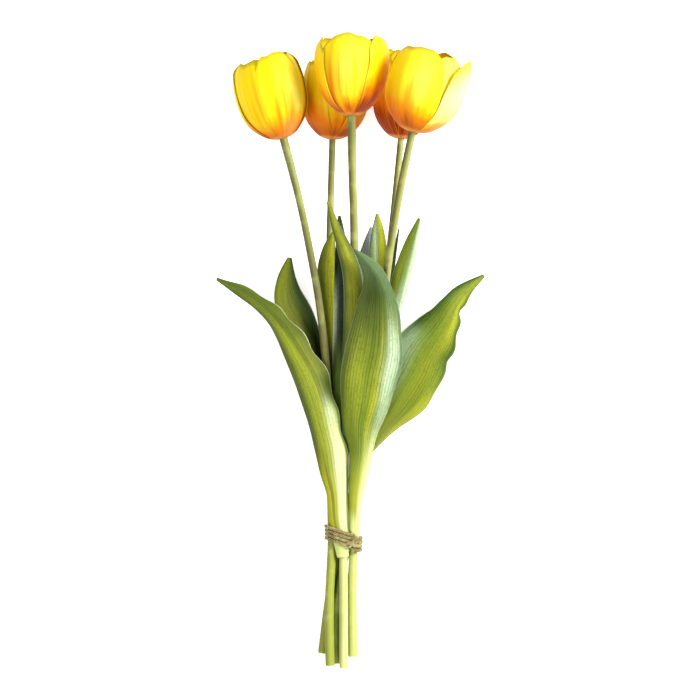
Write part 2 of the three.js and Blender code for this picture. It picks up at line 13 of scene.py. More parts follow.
import bpy
import numpy as np
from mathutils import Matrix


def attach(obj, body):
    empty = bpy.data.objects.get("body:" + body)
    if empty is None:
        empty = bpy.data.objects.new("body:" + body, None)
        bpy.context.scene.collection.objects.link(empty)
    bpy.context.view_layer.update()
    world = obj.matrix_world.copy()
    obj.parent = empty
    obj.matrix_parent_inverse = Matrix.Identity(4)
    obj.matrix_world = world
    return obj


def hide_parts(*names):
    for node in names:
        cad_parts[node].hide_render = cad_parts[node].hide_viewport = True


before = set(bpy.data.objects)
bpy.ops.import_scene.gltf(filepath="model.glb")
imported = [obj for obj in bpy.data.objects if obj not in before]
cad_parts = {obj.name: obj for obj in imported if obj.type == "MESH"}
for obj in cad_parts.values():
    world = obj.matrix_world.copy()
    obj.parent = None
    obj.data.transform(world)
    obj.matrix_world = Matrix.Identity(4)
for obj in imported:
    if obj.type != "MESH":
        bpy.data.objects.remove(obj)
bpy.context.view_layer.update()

LOG = logging.getLogger("tulips")

MM = 0.001
BUNCH_SHIFT = np.array([0.5, 3.2, 0.0])
SURFACE_CLEARANCE = 0.02
UP = np.array([0.0, 0.0, 1.0])
WHITE = (1.0, 1.0, 1.0)
# How far apart the points are from which a curve's and a surface's directions are measured.
CURVE_STEP = 0.004
SURFACE_STEP = 0.001
SHARP_ANGLE = math.radians(50.0)
# The thickness of the leaves in the solids, which the twine goes round.
LEAF_MIDRIB = 1.4
LEAF_EDGE = 0.8
PLACE_MAP = "Place"
TONE = "tone"

Surface = Callable[[np.ndarray, np.ndarray], np.ndarray]
Turn = Union[float, np.ndarray]
Socket = bpy.types.NodeSocket
Value = Union[float, Socket]
Colour = Tuple[float, float, float]
Point = Tuple[float, float, float]


def along(rows: np.ndarray, t: np.ndarray) -> np.ndarray:
    """Reads a smooth curve through evenly spaced rows of numbers.

    Args:
        rows: One row of numbers for each stop of the curve.
        t: How far along the curve, from 0 to 1, in any shape of array.

    Returns:
        The row of numbers at each t.
    """
    last = len(rows) - 1
    place = np.clip(t, 0.0, 1.0) * last
    i = np.minimum(place.astype(int), last - 1)
    f = (place - i)[..., None]
    before, start = rows[np.maximum(i - 1, 0)], rows[i]
    end, after = rows[i + 1], rows[np.minimum(i + 2, last)]
    rise = (end - before) / 2
    fall = (after - start) / 2
    square = f * f
    cube = square * f
    return ((2 * cube - 3 * square + 1) * start + (cube - 2 * square + f) * rise
            + (3 * square - 2 * cube) * end + (cube - square) * fall)


def unit(vectors: np.ndarray) -> np.ndarray:
    """Returns the vectors made one long."""
    length = np.linalg.norm(vectors, axis=-1, keepdims=True)
    return vectors / np.maximum(length, 1e-9)


def cross_frame(way: np.ndarray) -> Tuple[np.ndarray, np.ndarray]:
    """Finds two directions across a line.

    Args:
        way: The line's own direction.

    Returns:
        The direction to its right and the one up from the surface.
    """
    side = unit(np.cross(way, UP))
    return side, unit(np.cross(side, way))


def direction_along(rows: np.ndarray, t: np.ndarray) -> np.ndarray:
    """Returns the direction of a curve of rows at each t."""
    return unit((along(rows, t + CURVE_STEP) - along(rows, t - CURVE_STEP))[..., :3])


def swivel(side: np.ndarray, front: np.ndarray, angle: Turn) -> Tuple[np.ndarray, np.ndarray]:
    """Turns two directions about the line that they cross.

    Args:
        side: The direction to its right.
        front: The direction up from the surface.
        angle: How far the second turns towards the first, in radians.

    Returns:
        The second direction, turned, and the first.
    """
    cosine, sine = np.cos(angle), np.sin(angle)
    return front * cosine + side * sine, side * cosine - front * sine


def ring_angles(sides: int) -> np.ndarray:
    """Returns the angles of points that are evenly spread round a ring."""
    return np.linspace(0, 2 * math.pi, sides, endpoint=False)


def stand(name: str, data: bpy.types.ID) -> bpy.types.Object:
    """Returns a new object in the scene, made of that mesh, light or camera."""
    new = bpy.data.objects.new(name, data)
    bpy.context.scene.collection.objects.link(new)
    return new


def smooth(low: float, high: float, value: np.ndarray) -> np.ndarray:
    """Returns 0 below low, 1 above high and a soft rise between them."""
    f = np.clip((value - low) / (high - low), 0.0, 1.0)
    return f * f * (3 - 2 * f)


class Shape:
    """Gathers faces, with each corner's place on its piece, and makes one mesh of them."""

    def __init__(self) -> None:
        """Starts with nothing in it."""
        self.points: List[np.ndarray] = []
        self.tones: List[np.ndarray] = []
        self.faces: List[List[int]] = []
        self.places: List[List[Tuple[float, float]]] = []
        self.count = 0

    def add_points(self, points: np.ndarray, tone: float) -> int:
        """Adds points.

        Args:
            points: Their places in millimetres, before the bunch is shifted.
            tone: A number that the material reads there.

        Returns:
            The number of the first of them.
        """
        flat = points.reshape(-1, 3)
        self.points.append(flat)
        self.tones.append(np.full(len(flat), tone))
        first = self.count
        self.count += len(flat)
        return first

    def add_grid(self, first: int, rows: int, columns: int, rising: np.ndarray, across: np.ndarray,
                 closed: bool = False, turned: bool = False) -> None:
        """Adds the faces of a grid of points.

        Args:
            first: The number of the grid's first point.
            rows: How many rows of points there are.
            columns: How many points each row has.
            rising: The place of each row along the piece.
            across: The place of each column, with one more than columns where it closes.
            closed: Whether the last column joins the first.
            turned: Whether the faces look the other way.
        """
        for j in range(rows - 1):
            for i in range(columns if closed else columns - 1):
                k = (i + 1) % columns
                a, b = first + j * columns + i, first + j * columns + k
                d, c = a + columns, b + columns
                face = [a, b, c, d]
                place = [(across[i], rising[j]), (across[i + 1], rising[j]),
                         (across[i + 1], rising[j + 1]), (across[i], rising[j + 1])]
                self.faces.append(face[::-1] if turned else face)
                self.places.append(place[::-1] if turned else place)

    def add_blade(self, surface: Surface, thickness: Surface, across: int, stops: np.ndarray,
                  tone: float = 0.0, rising: Optional[np.ndarray] = None) -> None:
        """Adds a closed blade round a surface.

        Args:
            surface: The blade's middle, from u across, -1 to 1, and t along, 0 to 1.
            thickness: How thick it is there.
            across: How many faces lie side by side.
            stops: The values of t that the rows of points have.
            tone: A number that the material reads.
            rising: The place of each row along the piece, which is t itself if left out.
        """
        rising = stops if rising is None else rising
        u, t = np.meshgrid(np.linspace(-1, 1, across + 1), stops)
        middle = surface(u, t)
        sideways = surface(u + SURFACE_STEP, t) - surface(u - SURFACE_STEP, t)
        lengthways = surface(u, np.minimum(t + SURFACE_STEP, 1)) - surface(u, np.maximum(t - SURFACE_STEP, 0))
        normal = unit(np.cross(sideways, lengthways)) * thickness(u, t)[..., None] / 2
        width, height = across + 1, len(stops)
        first = self.add_points(middle + normal, tone)
        other = self.add_points(middle - normal, tone)
        side = (u[0] + 1) / 2
        self.add_grid(first, height, width, rising, side)
        self.add_grid(other, height, width, rising, side, turned=True)
        rim = list(range(across)) + [j * width + across for j in range(height - 1)]
        rim += [(height - 1) * width + i for i in range(across, 0, -1)]
        rim += [j * width for j in range(height - 1, 0, -1)]
        for k, a in enumerate(rim):
            b = rim[(k + 1) % len(rim)]
            here = (side[a % width], rising[a // width])
            there = (side[b % width], rising[b // width])
            self.faces.append([first + a, other + a, other + b, first + b])
            self.places.append([here, here, there, there])

    def add_tube(self, rings: np.ndarray, tone: float = 0.0, rising: Optional[np.ndarray] = None) -> None:
        """Adds a tube with closed ends.

        Args:
            rings: Its rings of points, one after the other.
            tone: A number that the material reads.
            rising: The place of each ring along the piece, evenly spread if left out.
        """
        count, sides = rings.shape[:2]
        stops = np.linspace(0, 1, count) if rising is None else rising
        first = self.add_points(rings, tone)
        self.add_grid(first, count, sides, stops, np.linspace(0, 1, sides + 1), closed=True)
        for ring, start, turned in ((0, first, True), (count - 1, first + (count - 1) * sides, False)):
            middle = self.add_points(rings[ring].mean(axis=0), tone)
            end = float(stops[ring])
            for i in range(sides):
                face = [start + i, start + (i + 1) % sides, middle]
                self.faces.append(face[::-1] if turned else face)
                self.places.append([(0.5, end)] * 3)

    def piece(self, name: str, material: bpy.types.Material) -> bpy.types.Object:
        """Makes the piece.

        Args:
            name: The piece's name.
            material: Its material.

        Returns:
            The new object, in metres.
        """
        points = np.concatenate(self.points) + BUNCH_SHIFT
        points[:, 2] = np.maximum(points[:, 2], SURFACE_CLEARANCE)
        mesh = bpy.data.meshes.new(name)
        mesh.from_pydata((points * MM).tolist(), [], self.faces)
        mesh.polygons.foreach_set("use_smooth", [True] * len(mesh.polygons))
        layer = mesh.uv_layers.new(name=PLACE_MAP)
        layer.uv.foreach_set("vector", [number for face in self.places for place in face for number in place])
        tones = mesh.attributes.new(TONE, "FLOAT", "POINT")
        tones.data.foreach_set("value", np.concatenate(self.tones).astype(np.float32))
        mesh.set_sharp_from_angle(angle=SHARP_ANGLE)
        mesh.materials.append(material)
        return stand(name, mesh)


def tube_rings(middles: np.ndarray, radius: np.ndarray, sides: int,
               out: Optional[np.ndarray] = None) -> np.ndarray:
    """Makes the rings of a tube.

    Args:
        middles: The points that the tube's middle goes through.
        radius: Its radius there, or at each point of each ring.
        sides: How many points a ring has.
        out: A direction across the tube at each point, or the one up from the surface.

    Returns:
        The rings of points.
    """
    way = unit(np.gradient(middles, axis=0))
    if out is None:
        side, front = cross_frame(way)
    else:
        side = unit(np.cross(way, out))
        front = np.cross(side, way)
    angle = ring_angles(sides)
    reach = np.broadcast_to(np.asarray(radius).reshape(len(middles), -1), (len(middles), sides))[..., None]
    ring = side[:, None] * np.sin(angle)[:, None] + front[:, None] * np.cos(angle)[:, None]
    return middles[:, None] + ring * reach


class Wiring:
    """Short ways to add and join the nodes of one tree."""

    def __init__(self, tree: bpy.types.NodeTree) -> None:
        """Works on that tree."""
        self.tree = tree

    def add(self, kind: str, **settings: object) -> bpy.types.Node:
        """Adds a node and gives it its settings."""
        node = self.tree.nodes.new(kind)
        for name, value in settings.items():
            setattr(node, name, value)
        return node

    def feed(self, socket: Socket, value: object) -> None:
        """Joins a socket to another one, or sets it to a plain value."""
        if isinstance(value, bpy.types.NodeSocket):
            self.tree.links.new(value, socket)
        else:
            socket.default_value = value

    def math(self, operation: str, first: Value, second: Value = 0.0, third: Value = 0.0) -> Socket:
        """Works out a number.

        Args:
            operation: What the Math node does.
            first: Its first value.
            second: Its second value.
            third: Its third value.

        Returns:
            The node's output.
        """
        node = self.add("ShaderNodeMath", operation=operation)
        for socket, value in zip(node.inputs, (first, second, third)):
            self.feed(socket, value)
        return node.outputs[0]

    def times(self, first: Value, *others: Value) -> Value:
        """Multiplies numbers, one after the other."""
        for other in others:
            first = self.math("MULTIPLY", first, other)
        return first

    def line(self, value: Value, slope: Value, start: Value) -> Socket:
        """Returns a value times a slope, with a start added."""
        return self.math("MULTIPLY_ADD", value, slope, start)

    def ramp(self, value: Value, low: Value, high: Value, start: float = 0.0, end: float = 1.0) -> Socket:
        """Returns a soft rise from start to end as the value goes from low to high."""
        node = self.add("ShaderNodeMapRange", interpolation_type="SMOOTHSTEP")
        inputs = (("Value", value), ("From Min", low), ("From Max", high), ("To Min", start), ("To Max", end))
        for name, number in inputs:
            self.feed(node.inputs[name], number)
        return node.outputs["Result"]

    def hill(self, value: Value, middle: Value, width: Value) -> Socket:
        """Returns 1 where the value is at the middle, falling away to 0 on both sides."""
        away = self.math("DIVIDE", self.math("SUBTRACT", value, middle), width)
        return self.math("EXPONENT", self.times(away, away, -1.0))

    def mix(self, factor: Value, first: object, second: object, blend: str = "MIX") -> Socket:
        """Mixes two colours.

        Args:
            factor: How much of the second is taken.
            first: A colour or a socket.
            second: A colour or a socket.
            blend: How they are mixed.

        Returns:
            The mixed colour.
        """
        node = self.add("ShaderNodeMix", data_type="RGBA", blend_type=blend, clamp_factor=True)
        self.feed(node.inputs[0], factor)
        for socket, value in ((node.inputs[6], first), (node.inputs[7], second)):
            self.feed(socket, (*value, 1.0) if isinstance(value, tuple) else value)
        return node.outputs[2]

    def noise(self, vector: Socket, scale: Value) -> Socket:
        """Returns soft noise from 0 to 1."""
        node = self.add("ShaderNodeTexNoise")
        self.feed(node.inputs["Vector"], vector)
        self.feed(node.inputs["Scale"], scale)
        return node.outputs[0]

    def split_place(self) -> Tuple[Socket, Socket]:
        """Returns how far across and how far along its piece a point lies, from 0 to 1."""
        split = self.add("ShaderNodeSeparateXYZ")
        self.feed(split.inputs[0], self.add("ShaderNodeUVMap", uv_map=PLACE_MAP).outputs[0])
        return split.outputs[0], split.outputs[1]

    def tone(self) -> Socket:
        """Returns the number that a point of the piece was given."""
        return self.add("ShaderNodeAttribute", attribute_name=TONE).outputs["Fac"]

    def put_out(self, values: Dict[str, Socket]) -> None:
        """Joins values to the group's outputs of the same names."""
        out = self.add("NodeGroupOutput")
        for name, value in values.items():
            self.feed(out.inputs[name], value)


def new_group(name: str, inputs: Dict[str, float],
              outputs: Sequence[str]) -> Tuple[bpy.types.NodeTree, Wiring]:
    """Makes an empty node group of numbers.

    Args:
        name: The group's name.
        inputs: Its inputs and what they are unless set.
        outputs: The names of its outputs.

    Returns:
        The group and the wiring of its nodes.
    """
    tree = bpy.data.node_groups.new(name, "ShaderNodeTree")
    for label, value in inputs.items():
        tree.interface.new_socket(label, in_out="INPUT", socket_type="NodeSocketFloat").default_value = value
    for label in outputs:
        tree.interface.new_socket(label, in_out="OUTPUT", socket_type="NodeSocketFloat")
    return tree, Wiring(tree)


class Effects:
    """The node groups that more than one material uses."""

    broad_part: float = 0.17
    tone_spread: float = 7.3
    grain_times: float = 14.0

    def __init__(self) -> None:
        """Makes the groups."""
        self.place = self.make_place()
        self.streaks = self.make_streaks()
        self.mottle = self.make_mottle()

    def make_place(self) -> bpy.types.NodeTree:
        """Returns the group that gives a point's place on its blade or stalk."""
        tree, wire = new_group("place_on_piece", {}, ("Across", "Edge", "Along"))
        beside, along_piece = wire.split_place()
        across = wire.line(beside, 2.0, -1.0)
        wire.put_out({"Across": across, "Edge": wire.math("ABSOLUTE", across), "Along": along_piece})
        return tree

    def make_streaks(self) -> bpy.types.NodeTree:
        """Returns the group of fine and broad streaks that run the length of a piece."""
        inputs = {"Fineness": 40.0, "Stretch": 1.5, "Seed": 0.0}
        tree, wire = new_group("lengthwise_streaks", inputs, ("Fine", "Broad"))
        given = wire.add("NodeGroupInput").outputs
        beside, along_piece = wire.split_place()
        seed = wire.line(wire.tone(), self.tone_spread, given["Seed"])
        found = {}
        for label, part in (("Fine", 1.0), ("Broad", self.broad_part)):
            joined = wire.add("ShaderNodeCombineXYZ")
            wire.feed(joined.inputs[0], wire.times(beside, wire.times(given["Fineness"], part)))
            wire.feed(joined.inputs[1], wire.times(along_piece, given["Stretch"]))
            wire.feed(joined.inputs[2], seed)
            found[label] = wire.noise(joined.outputs[0], 1.0)
        wire.put_out(found)
        return tree

    def make_mottle(self) -> bpy.types.NodeTree:
        """Returns the group of soft uneven patches that grown surfaces have."""
        tree, wire = new_group("mottle", {"Scale": 60.0}, ("Patches", "Grain"))
        scale = wire.add("NodeGroupInput").outputs["Scale"]
        where = wire.add("ShaderNodeTexCoord").outputs["Object"]
        wire.put_out({label: wire.noise(where, wire.times(scale, times))
                      for label, times in (("Patches", 1.0), ("Grain", self.grain_times))})
        return tree


EFFECTS = Effects()


class Coat:
    """One material being made: its nodes, its shader and the colour that is laid so far."""

    def __init__(self, name: str, roughness: float, ground: object = WHITE, **constants: object) -> None:
        """Starts a material.

        Args:
            name: The material's name.
            roughness: How rough it is.
            ground: The first colour.
            **constants: The shader's own sockets that are the same all over.
        """
        self.material = bpy.data.materials.new(name)
        self.material.use_nodes = True
        self.wire = Wiring(self.material.node_tree)
        self.shader = self.material.node_tree.nodes["Principled BSDF"]
        self.shader.inputs["Roughness"].default_value = roughness
        for label, value in constants.items():
            self.shader.inputs[label.replace("_", " ")].default_value = value
        self.colour = ground

    def effect(self, tree: bpy.types.NodeTree, **values: float) -> Tuple[Socket, ...]:
        """Places a shared effect with its own values and returns what it puts out, in order."""
        node = self.wire.add("ShaderNodeGroup", node_tree=tree)
        for label, value in values.items():
            node.inputs[label].default_value = value
        return tuple(node.outputs)

    def lay(self, amount: Value, colour: object, blend: str = "MIX") -> None:
        """Lays a colour over what is there.

        Args:
            amount: How much of it shows.
            colour: A colour, a named colour or a socket.
            blend: How it is mixed.
        """
        over = colour.value if isinstance(colour, Enum) else colour
        self.colour = self.wire.mix(amount, self.colour, over, blend)

    def finish(self, height: Socket, distance: float, strength: float) -> bpy.types.Material:
        """Joins the colour and the fine relief to the shader.

        Args:
            height: The height of the relief, from 0 to 1.
            distance: How deep the relief is, in metres.
            strength: How much of it shows.

        Returns:
            The finished material.
        """
        self.wire.feed(self.shader.inputs["Base Color"], self.colour)
        bump = self.wire.add("ShaderNodeBump")
        bump.inputs["Strength"].default_value = strength
        bump.inputs["Distance"].default_value = distance
        self.wire.feed(bump.inputs["Height"], height)
        self.wire.feed(self.shader.inputs["Normal"], bump.outputs[0])
        return self.material


class Gold(Enum):
    """The colours of petals."""

    YELLOW = (0.96, 0.69, 0.001)
    LIGHT = (0.97, 0.755, 0.010)
    LEMON = (1.0, 0.92, 0.14)
    PALE = (1.0, 0.97, 0.42)
    GOLD = (0.92, 0.47, 0.001)
    ORANGE = (0.84, 0.22, 0.001)
    FLAME = (0.62, 0.09, 0.002)
    RED = (0.34, 0.035, 0.002)
    PINK = (0.88, 0.33, 0.07)
    OLIVE = (0.34, 0.31, 0.015)


DEEP_GOLDS = (Gold.ORANGE, Gold.FLAME, Gold.RED, Gold.PINK)
# Each colour of a flame, and the strengths of the flame at which it starts and is full.
FLAME_COLOURS = ((Gold.GOLD, 0.12, 0.42), (Gold.ORANGE, 0.4, 0.68), (Gold.RED, 0.66, 0.95))


@dataclass(frozen=True)
class Patch:
    """A soft patch on one petal, of the petal's own colour or of painted highlight or painted shade.

    It lies at a place across the petal, from -1 to 1, and at a height along it, from 0 to 1.
    """

    petal: int
    colour: Gold
    at: float
    width: float
    height: float
    tall: float
    amount: float


@dataclass(frozen=True)
class PetalFinish:
    """Silky yellow petals, flamed with orange and red from the foot up and along the middle, with patches of
    painted highlight and painted shade on some.

    The tone of a petal is its number and, after the point, its heat: how far and how deep its
    flames go.
    """

    patches: Tuple[Patch, ...]

    def patched(self, coat: Coat, place: Tuple[Value, Value, Value], deep: bool) -> None:
        """Lays the patches.

        Args:
            coat: The coat that they lie on.
            place: The petal's number, the place across it and the height.
            deep: If only the deep patches are laid, or only the light ones.
        """
        number, wander, uneven = place
        wire = coat.wire
        for patch in self.patches:
            if (patch.colour in DEEP_GOLDS) == deep:
                coat.lay(wire.times(wire.math("COMPARE", number, float(patch.petal), 0.5),
                                    wire.hill(wander, patch.at, patch.width),
                                    wire.hill(uneven, patch.height, patch.tall), patch.amount), patch.colour)

    def material(self, number: int) -> bpy.types.Material:
        """Returns the material of the petals of one bloom, by the bloom's number."""
        coat = Coat(f"petal_skin_{number}", 0.5, Gold.YELLOW.value, Subsurface_Weight=0.15,
                    Subsurface_Scale=0.002, Specular_IOR_Level=0.12)
        wire = coat.wire
        across, edge, rising = coat.effect(EFFECTS.place)
        fine, broad = coat.effect(EFFECTS.streaks, Fineness=42.0, Stretch=1.2, Seed=number)
        tone = wire.tone()
        heat = wire.math("FRACT", tone)
        ragged = wire.line(broad, 0.5, wire.line(fine, 0.3, -0.4))
        uneven = wire.math("SUBTRACT", rising, wire.times(ragged, 0.55))
        wander = wire.line(ragged, 0.3, across)
        place = (wire.math("FLOOR", tone), wander, uneven)
        streak = wire.times(wire.hill(wander, 0.04, 0.17), wire.ramp(rising, 0.3, 0.92, 1.0, 0.0),
                            wire.line(heat, 0.5, 0.2))
        flame = wire.times(wire.ramp(uneven, 0.0, wire.line(heat, 0.75, 0.24), 1.0, 0.0),
                           wire.line(heat, 0.45, 0.66))
        flame = wire.math("MAXIMUM", flame, streak)
        flame = wire.line(wire.math("SUBTRACT", 0.5, fine), 0.24, flame)
        coat.lay(wire.ramp(broad, 0.35, 0.7), Gold.LIGHT)
        self.patched(coat, place, False)
        for colour, low, high in FLAME_COLOURS:
            coat.lay(wire.ramp(flame, low, high), colour)
        self.patched(coat, place, True)
        coat.lay(wire.ramp(rising, 0.02, 0.06, 0.8, 0.0), Gold.PINK)
        veined = wire.times(wire.ramp(fine, 0.36, 0.46, 1.0, 0.0), wire.ramp(rising, 0.15, 0.95, 1.0, 0.1),
                            wire.line(heat, 0.35, 0.25))
        coat.lay(veined, Gold.ORANGE)
        # A pale margin low on each petal, partly the petal's own paler edge and partly a painted light rim
        # where the edge catches the light.
        margin = wire.times(wire.ramp(edge, 0.95, 0.99), wire.ramp(rising, 0.0, 0.6, 0.12, 0.3))
        coat.lay(margin, Gold.LEMON)
        outline = wire.times(wire.ramp(edge, 0.95, 1.0), wire.ramp(rising, 0.6, 0.9, 0.0, 0.6))
        outline = wire.math("MAXIMUM", outline, wire.ramp(rising, 0.94, 1.0, 0.0, 0.75))
        coat.lay(outline, Gold.OLIVE)
        return coat.finish(fine, 0.0005, 0.4)


class Green(Enum):
    """The colours of leaves and stems."""

    # The blackest green is painted shadow, for leaves and halves of leaves that lie in shade; the deep green
    # is both the leaves' own dark mottle and painted shade in their bands.
    PAINTED_SHADOW = (0.006, 0.012, 0.004)
    DEEP = (0.028, 0.056, 0.008)
    SHADE = (0.060, 0.105, 0.014)
    LEAF = (0.130, 0.200, 0.014)
    OLIVE = (0.235, 0.265, 0.018)
    FRESH = (0.330, 0.400, 0.020)
    YELLOW = (0.480, 0.470, 0.012)
    LIME = (0.560, 0.580, 0.030)
    # The pale, cream, mint and frost greens are painted highlights and painted sheen where a leaf's side or
    # margin turns to the light; the pale green is also the own colour of leaf feet, stem flecks and cut ends.
    PALE = (0.700, 0.780, 0.270)
    PAINTED_HIGHLIGHT = (0.880, 0.930, 0.500)
    PAINTED_MINT_SHEEN = (0.420, 0.580, 0.330)
    PAINTED_SHEEN = (0.680, 0.820, 0.560)
    BLUE = (0.560, 0.640, 0.740)
    TEAL = (0.100, 0.190, 0.095)


@dataclass(frozen=True)
class Band:
    """A soft band along a leaf, of its own green, of a painted highlight or sheen on a side turned to the
    light, or of painted shade on a side, hollow or gap turned from it.

    It lies at a place across the leaf, from -1 to 1, and runs from a start to an end along it.
    """

    colour: Green
    at: float
    width: float
    start: float
    end: float
    amount: float
    fade: float = 0.1


@dataclass(frozen=True)
class LeafFinish:
    """A waxy leaf in bands of its own greens and of painted light and shade, with fine parallel veins and a
    thin painted highlight on its margin.
    """

    ground: Green
    bands: Tuple[Band, ...]
    base: Green
    base_height: float = 0.16
    veins: float = 16.0
    vein_depth: float = 0.6
    rim: float = 0.5
    vein_shadow: Colour = (0.16, 0.26, 0.12)

    def material(self, name: str, seed: float) -> bpy.types.Material:
        """Returns the material of one leaf, with that name and seed."""
        coat = Coat(name, 0.45, self.ground.value, Specular_IOR_Level=0.15)
        wire = coat.wire
        across, edge, rising = coat.effect(EFFECTS.place)
        fine, broad = coat.effect(EFFECTS.streaks, Fineness=70.0, Stretch=2.2, Seed=seed)
        crossed, _ = coat.effect(EFFECTS.streaks, Fineness=26.0, Stretch=70.0, Seed=seed + 0.5)
        patches, grain = coat.effect(EFFECTS.mottle, Scale=55.0)
        wander = wire.math("ADD", across, wire.line(broad, 0.5, -0.25))
        coat.lay(wire.ramp(patches, 0.3, 0.7, 0.0, 0.35), Green.DEEP)
        for band in self.bands:
            amount = wire.times(wire.hill(wander, band.at, band.width), band.amount)
            for stop, rise in ((band.start, (0.0, 1.0)), (band.end, (1.0, 0.0))):
                if 0 < stop < 1:
                    amount = wire.times(amount, wire.ramp(rising, stop - band.fade, stop + band.fade, *rise))
            coat.lay(amount, band.colour)
        grown = wire.ramp(rising, 0.2, 0.45)
        coat.lay(wire.times(wire.ramp(grain, 0.5, 0.72, 0.0, 0.3), grown), Green.SHADE)
        coat.lay(wire.ramp(wire.line(broad, -0.1, rising), 0.0, self.base_height, 0.9, 0.0), self.base)
        turn = wire.line(across, self.veins * math.pi / 2, wire.times(broad, 1.4))
        lines = wire.ramp(wire.math("ABSOLUTE", wire.math("SINE", turn)), 0.0, 0.34, 1.0, 0.0)
        faint = 0.4 * self.vein_depth
        shown = wire.times(lines, wire.ramp(fine, 0.3, 0.6, faint, self.vein_depth),
                           wire.ramp(rising, 0.12, 0.36, 0.2, 1.0))
        shown = wire.math("MAXIMUM", shown, wire.ramp(fine, 0.5, 0.72, 0.0, 0.6))
        shown = wire.math("MAXIMUM", shown, wire.times(wire.ramp(crossed, 0.46, 0.75, 0.0, faint), grown))
        coat.lay(1.0, wire.mix(shown, WHITE, self.vein_shadow), "MULTIPLY")
        # A thin painted highlight along the leaf's margins, where they catch the light.
        coat.lay(wire.times(wire.ramp(edge, 0.955, 0.985, 0.0, self.rim), wire.ramp(rising, 0.3, 0.45)),
                 Green.PAINTED_SHEEN)
        return coat.finish(wire.line(lines, -0.5, fine), 0.0005, 0.45)


@dataclass(frozen=True)
class StemFinish:
    """A smooth stem, olive near the bloom, pale yellow-green lower down and blushed brown in places, with
    painted shade down the side turned from the light, a painted highlight on the lit side and a band of
    painted shade where the bundle shades it.
    """

    lower: Colour
    blush_at: float = 0.2
    blush_amount: float = 0.06
    shade: Tuple[float, float] = (0.40, 0.74)
    shade_amount: float = 0.0
    upper: Colour = (0.20, 0.22, 0.045)
    turning: Tuple[float, float] = (0.55, 0.82)
    blush: Colour = (0.26, 0.13, 0.04)
    blush_width: float = 0.15
    # A dark band down the side turned from the light: painted shade.
    edge: Colour = (0.10, 0.085, 0.016)
    shaded_side_at: float = -0.58
    shaded_side_amount: float = 0.9
    # A light streak down the side turned to the light: painted highlight.
    lit_side_highlight: Colour = (0.44, 0.46, 0.17)
    cut_at: float = 0.996

    def material(self, number: int) -> bpy.types.Material:
        """Returns the material of one stem, by its number."""
        coat = Coat(f"stem_skin_{number}", 0.4, self.upper, Subsurface_Weight=0.1, Subsurface_Scale=0.0015,
                    Specular_IOR_Level=0.25)
        wire = coat.wire
        across, _, rising = coat.effect(EFFECTS.place)
        fine, broad = coat.effect(EFFECTS.streaks, Fineness=22.0, Stretch=5.0, Seed=number)
        patches, _ = coat.effect(EFFECTS.mottle, Scale=80.0)
        coat.lay(wire.ramp(rising, *self.turning), self.lower)
        coat.lay(wire.ramp(broad, 0.45, 0.75, 0.0, 0.3), Green.FRESH)
        coat.lay(wire.times(wire.hill(rising, self.blush_at, self.blush_width),
                            wire.ramp(broad, 0.3, 0.7, 0.2, self.blush_amount * 2)), self.blush)
        wander = wire.line(broad, 0.2, across)
        # Painted shade down the side turned from the light, lighter lower down, and a painted highlight on
        # the upper stem's lit side.
        coat.lay(wire.times(wire.hill(wander, self.shaded_side_at, 0.26),
                            wire.ramp(rising, 0.5, 0.7, self.shaded_side_amount, self.shaded_side_amount * 0.4)), self.edge)
        coat.lay(wire.times(wire.hill(wander, 0.85, 0.2), wire.ramp(rising, 0.5, 0.7, 0.7, 0.0)), self.lit_side_highlight)
        start, end = self.shade
        above = wire.ramp(rising, start, start + 0.08)
        below = wire.ramp(rising, end - 0.05, end, 1.0, 0.0)
        coat.lay(wire.times(wire.times(above, below), self.shade_amount), Green.SHADE)
        coat.lay(wire.ramp(fine, 0.5, 0.8, 0.0, 0.3), Green.SHADE)
        coat.lay(wire.ramp(patches, 0.5, 0.75, 0.0, 0.25), Green.PALE)
        coat.lay(wire.ramp(rising, self.cut_at, self.cut_at + 0.003), Green.PALE)
        return coat.finish(fine, 0.0004, 0.4)


@dataclass(frozen=True)
class HeartFinish:
    """A green pistil and stamens: tone 0 is the pistil, 0.5 a filament and 1 an anther."""

    pistil: Colour = (0.24, 0.30, 0.06)
    filament: Colour = (0.55, 0.50, 0.12)
    anther: Colour = (0.16, 0.09, 0.015)

    def material(self) -> bpy.types.Material:
        """Returns the heart's material."""
        coat = Coat("heart_green", 0.6, self.pistil)
        wire = coat.wire
        tone = wire.tone()
        _, grain = coat.effect(EFFECTS.mottle, Scale=200.0)
        coat.lay(wire.ramp(tone, 0.1, 0.4), self.filament)
        coat.lay(wire.ramp(tone, 0.6, 0.9), self.anther)
        coat.lay(wire.ramp(grain, 0.4, 0.7, 0.0, 0.4), self.filament)
        return coat.finish(grain, 0.0004, 0.6)


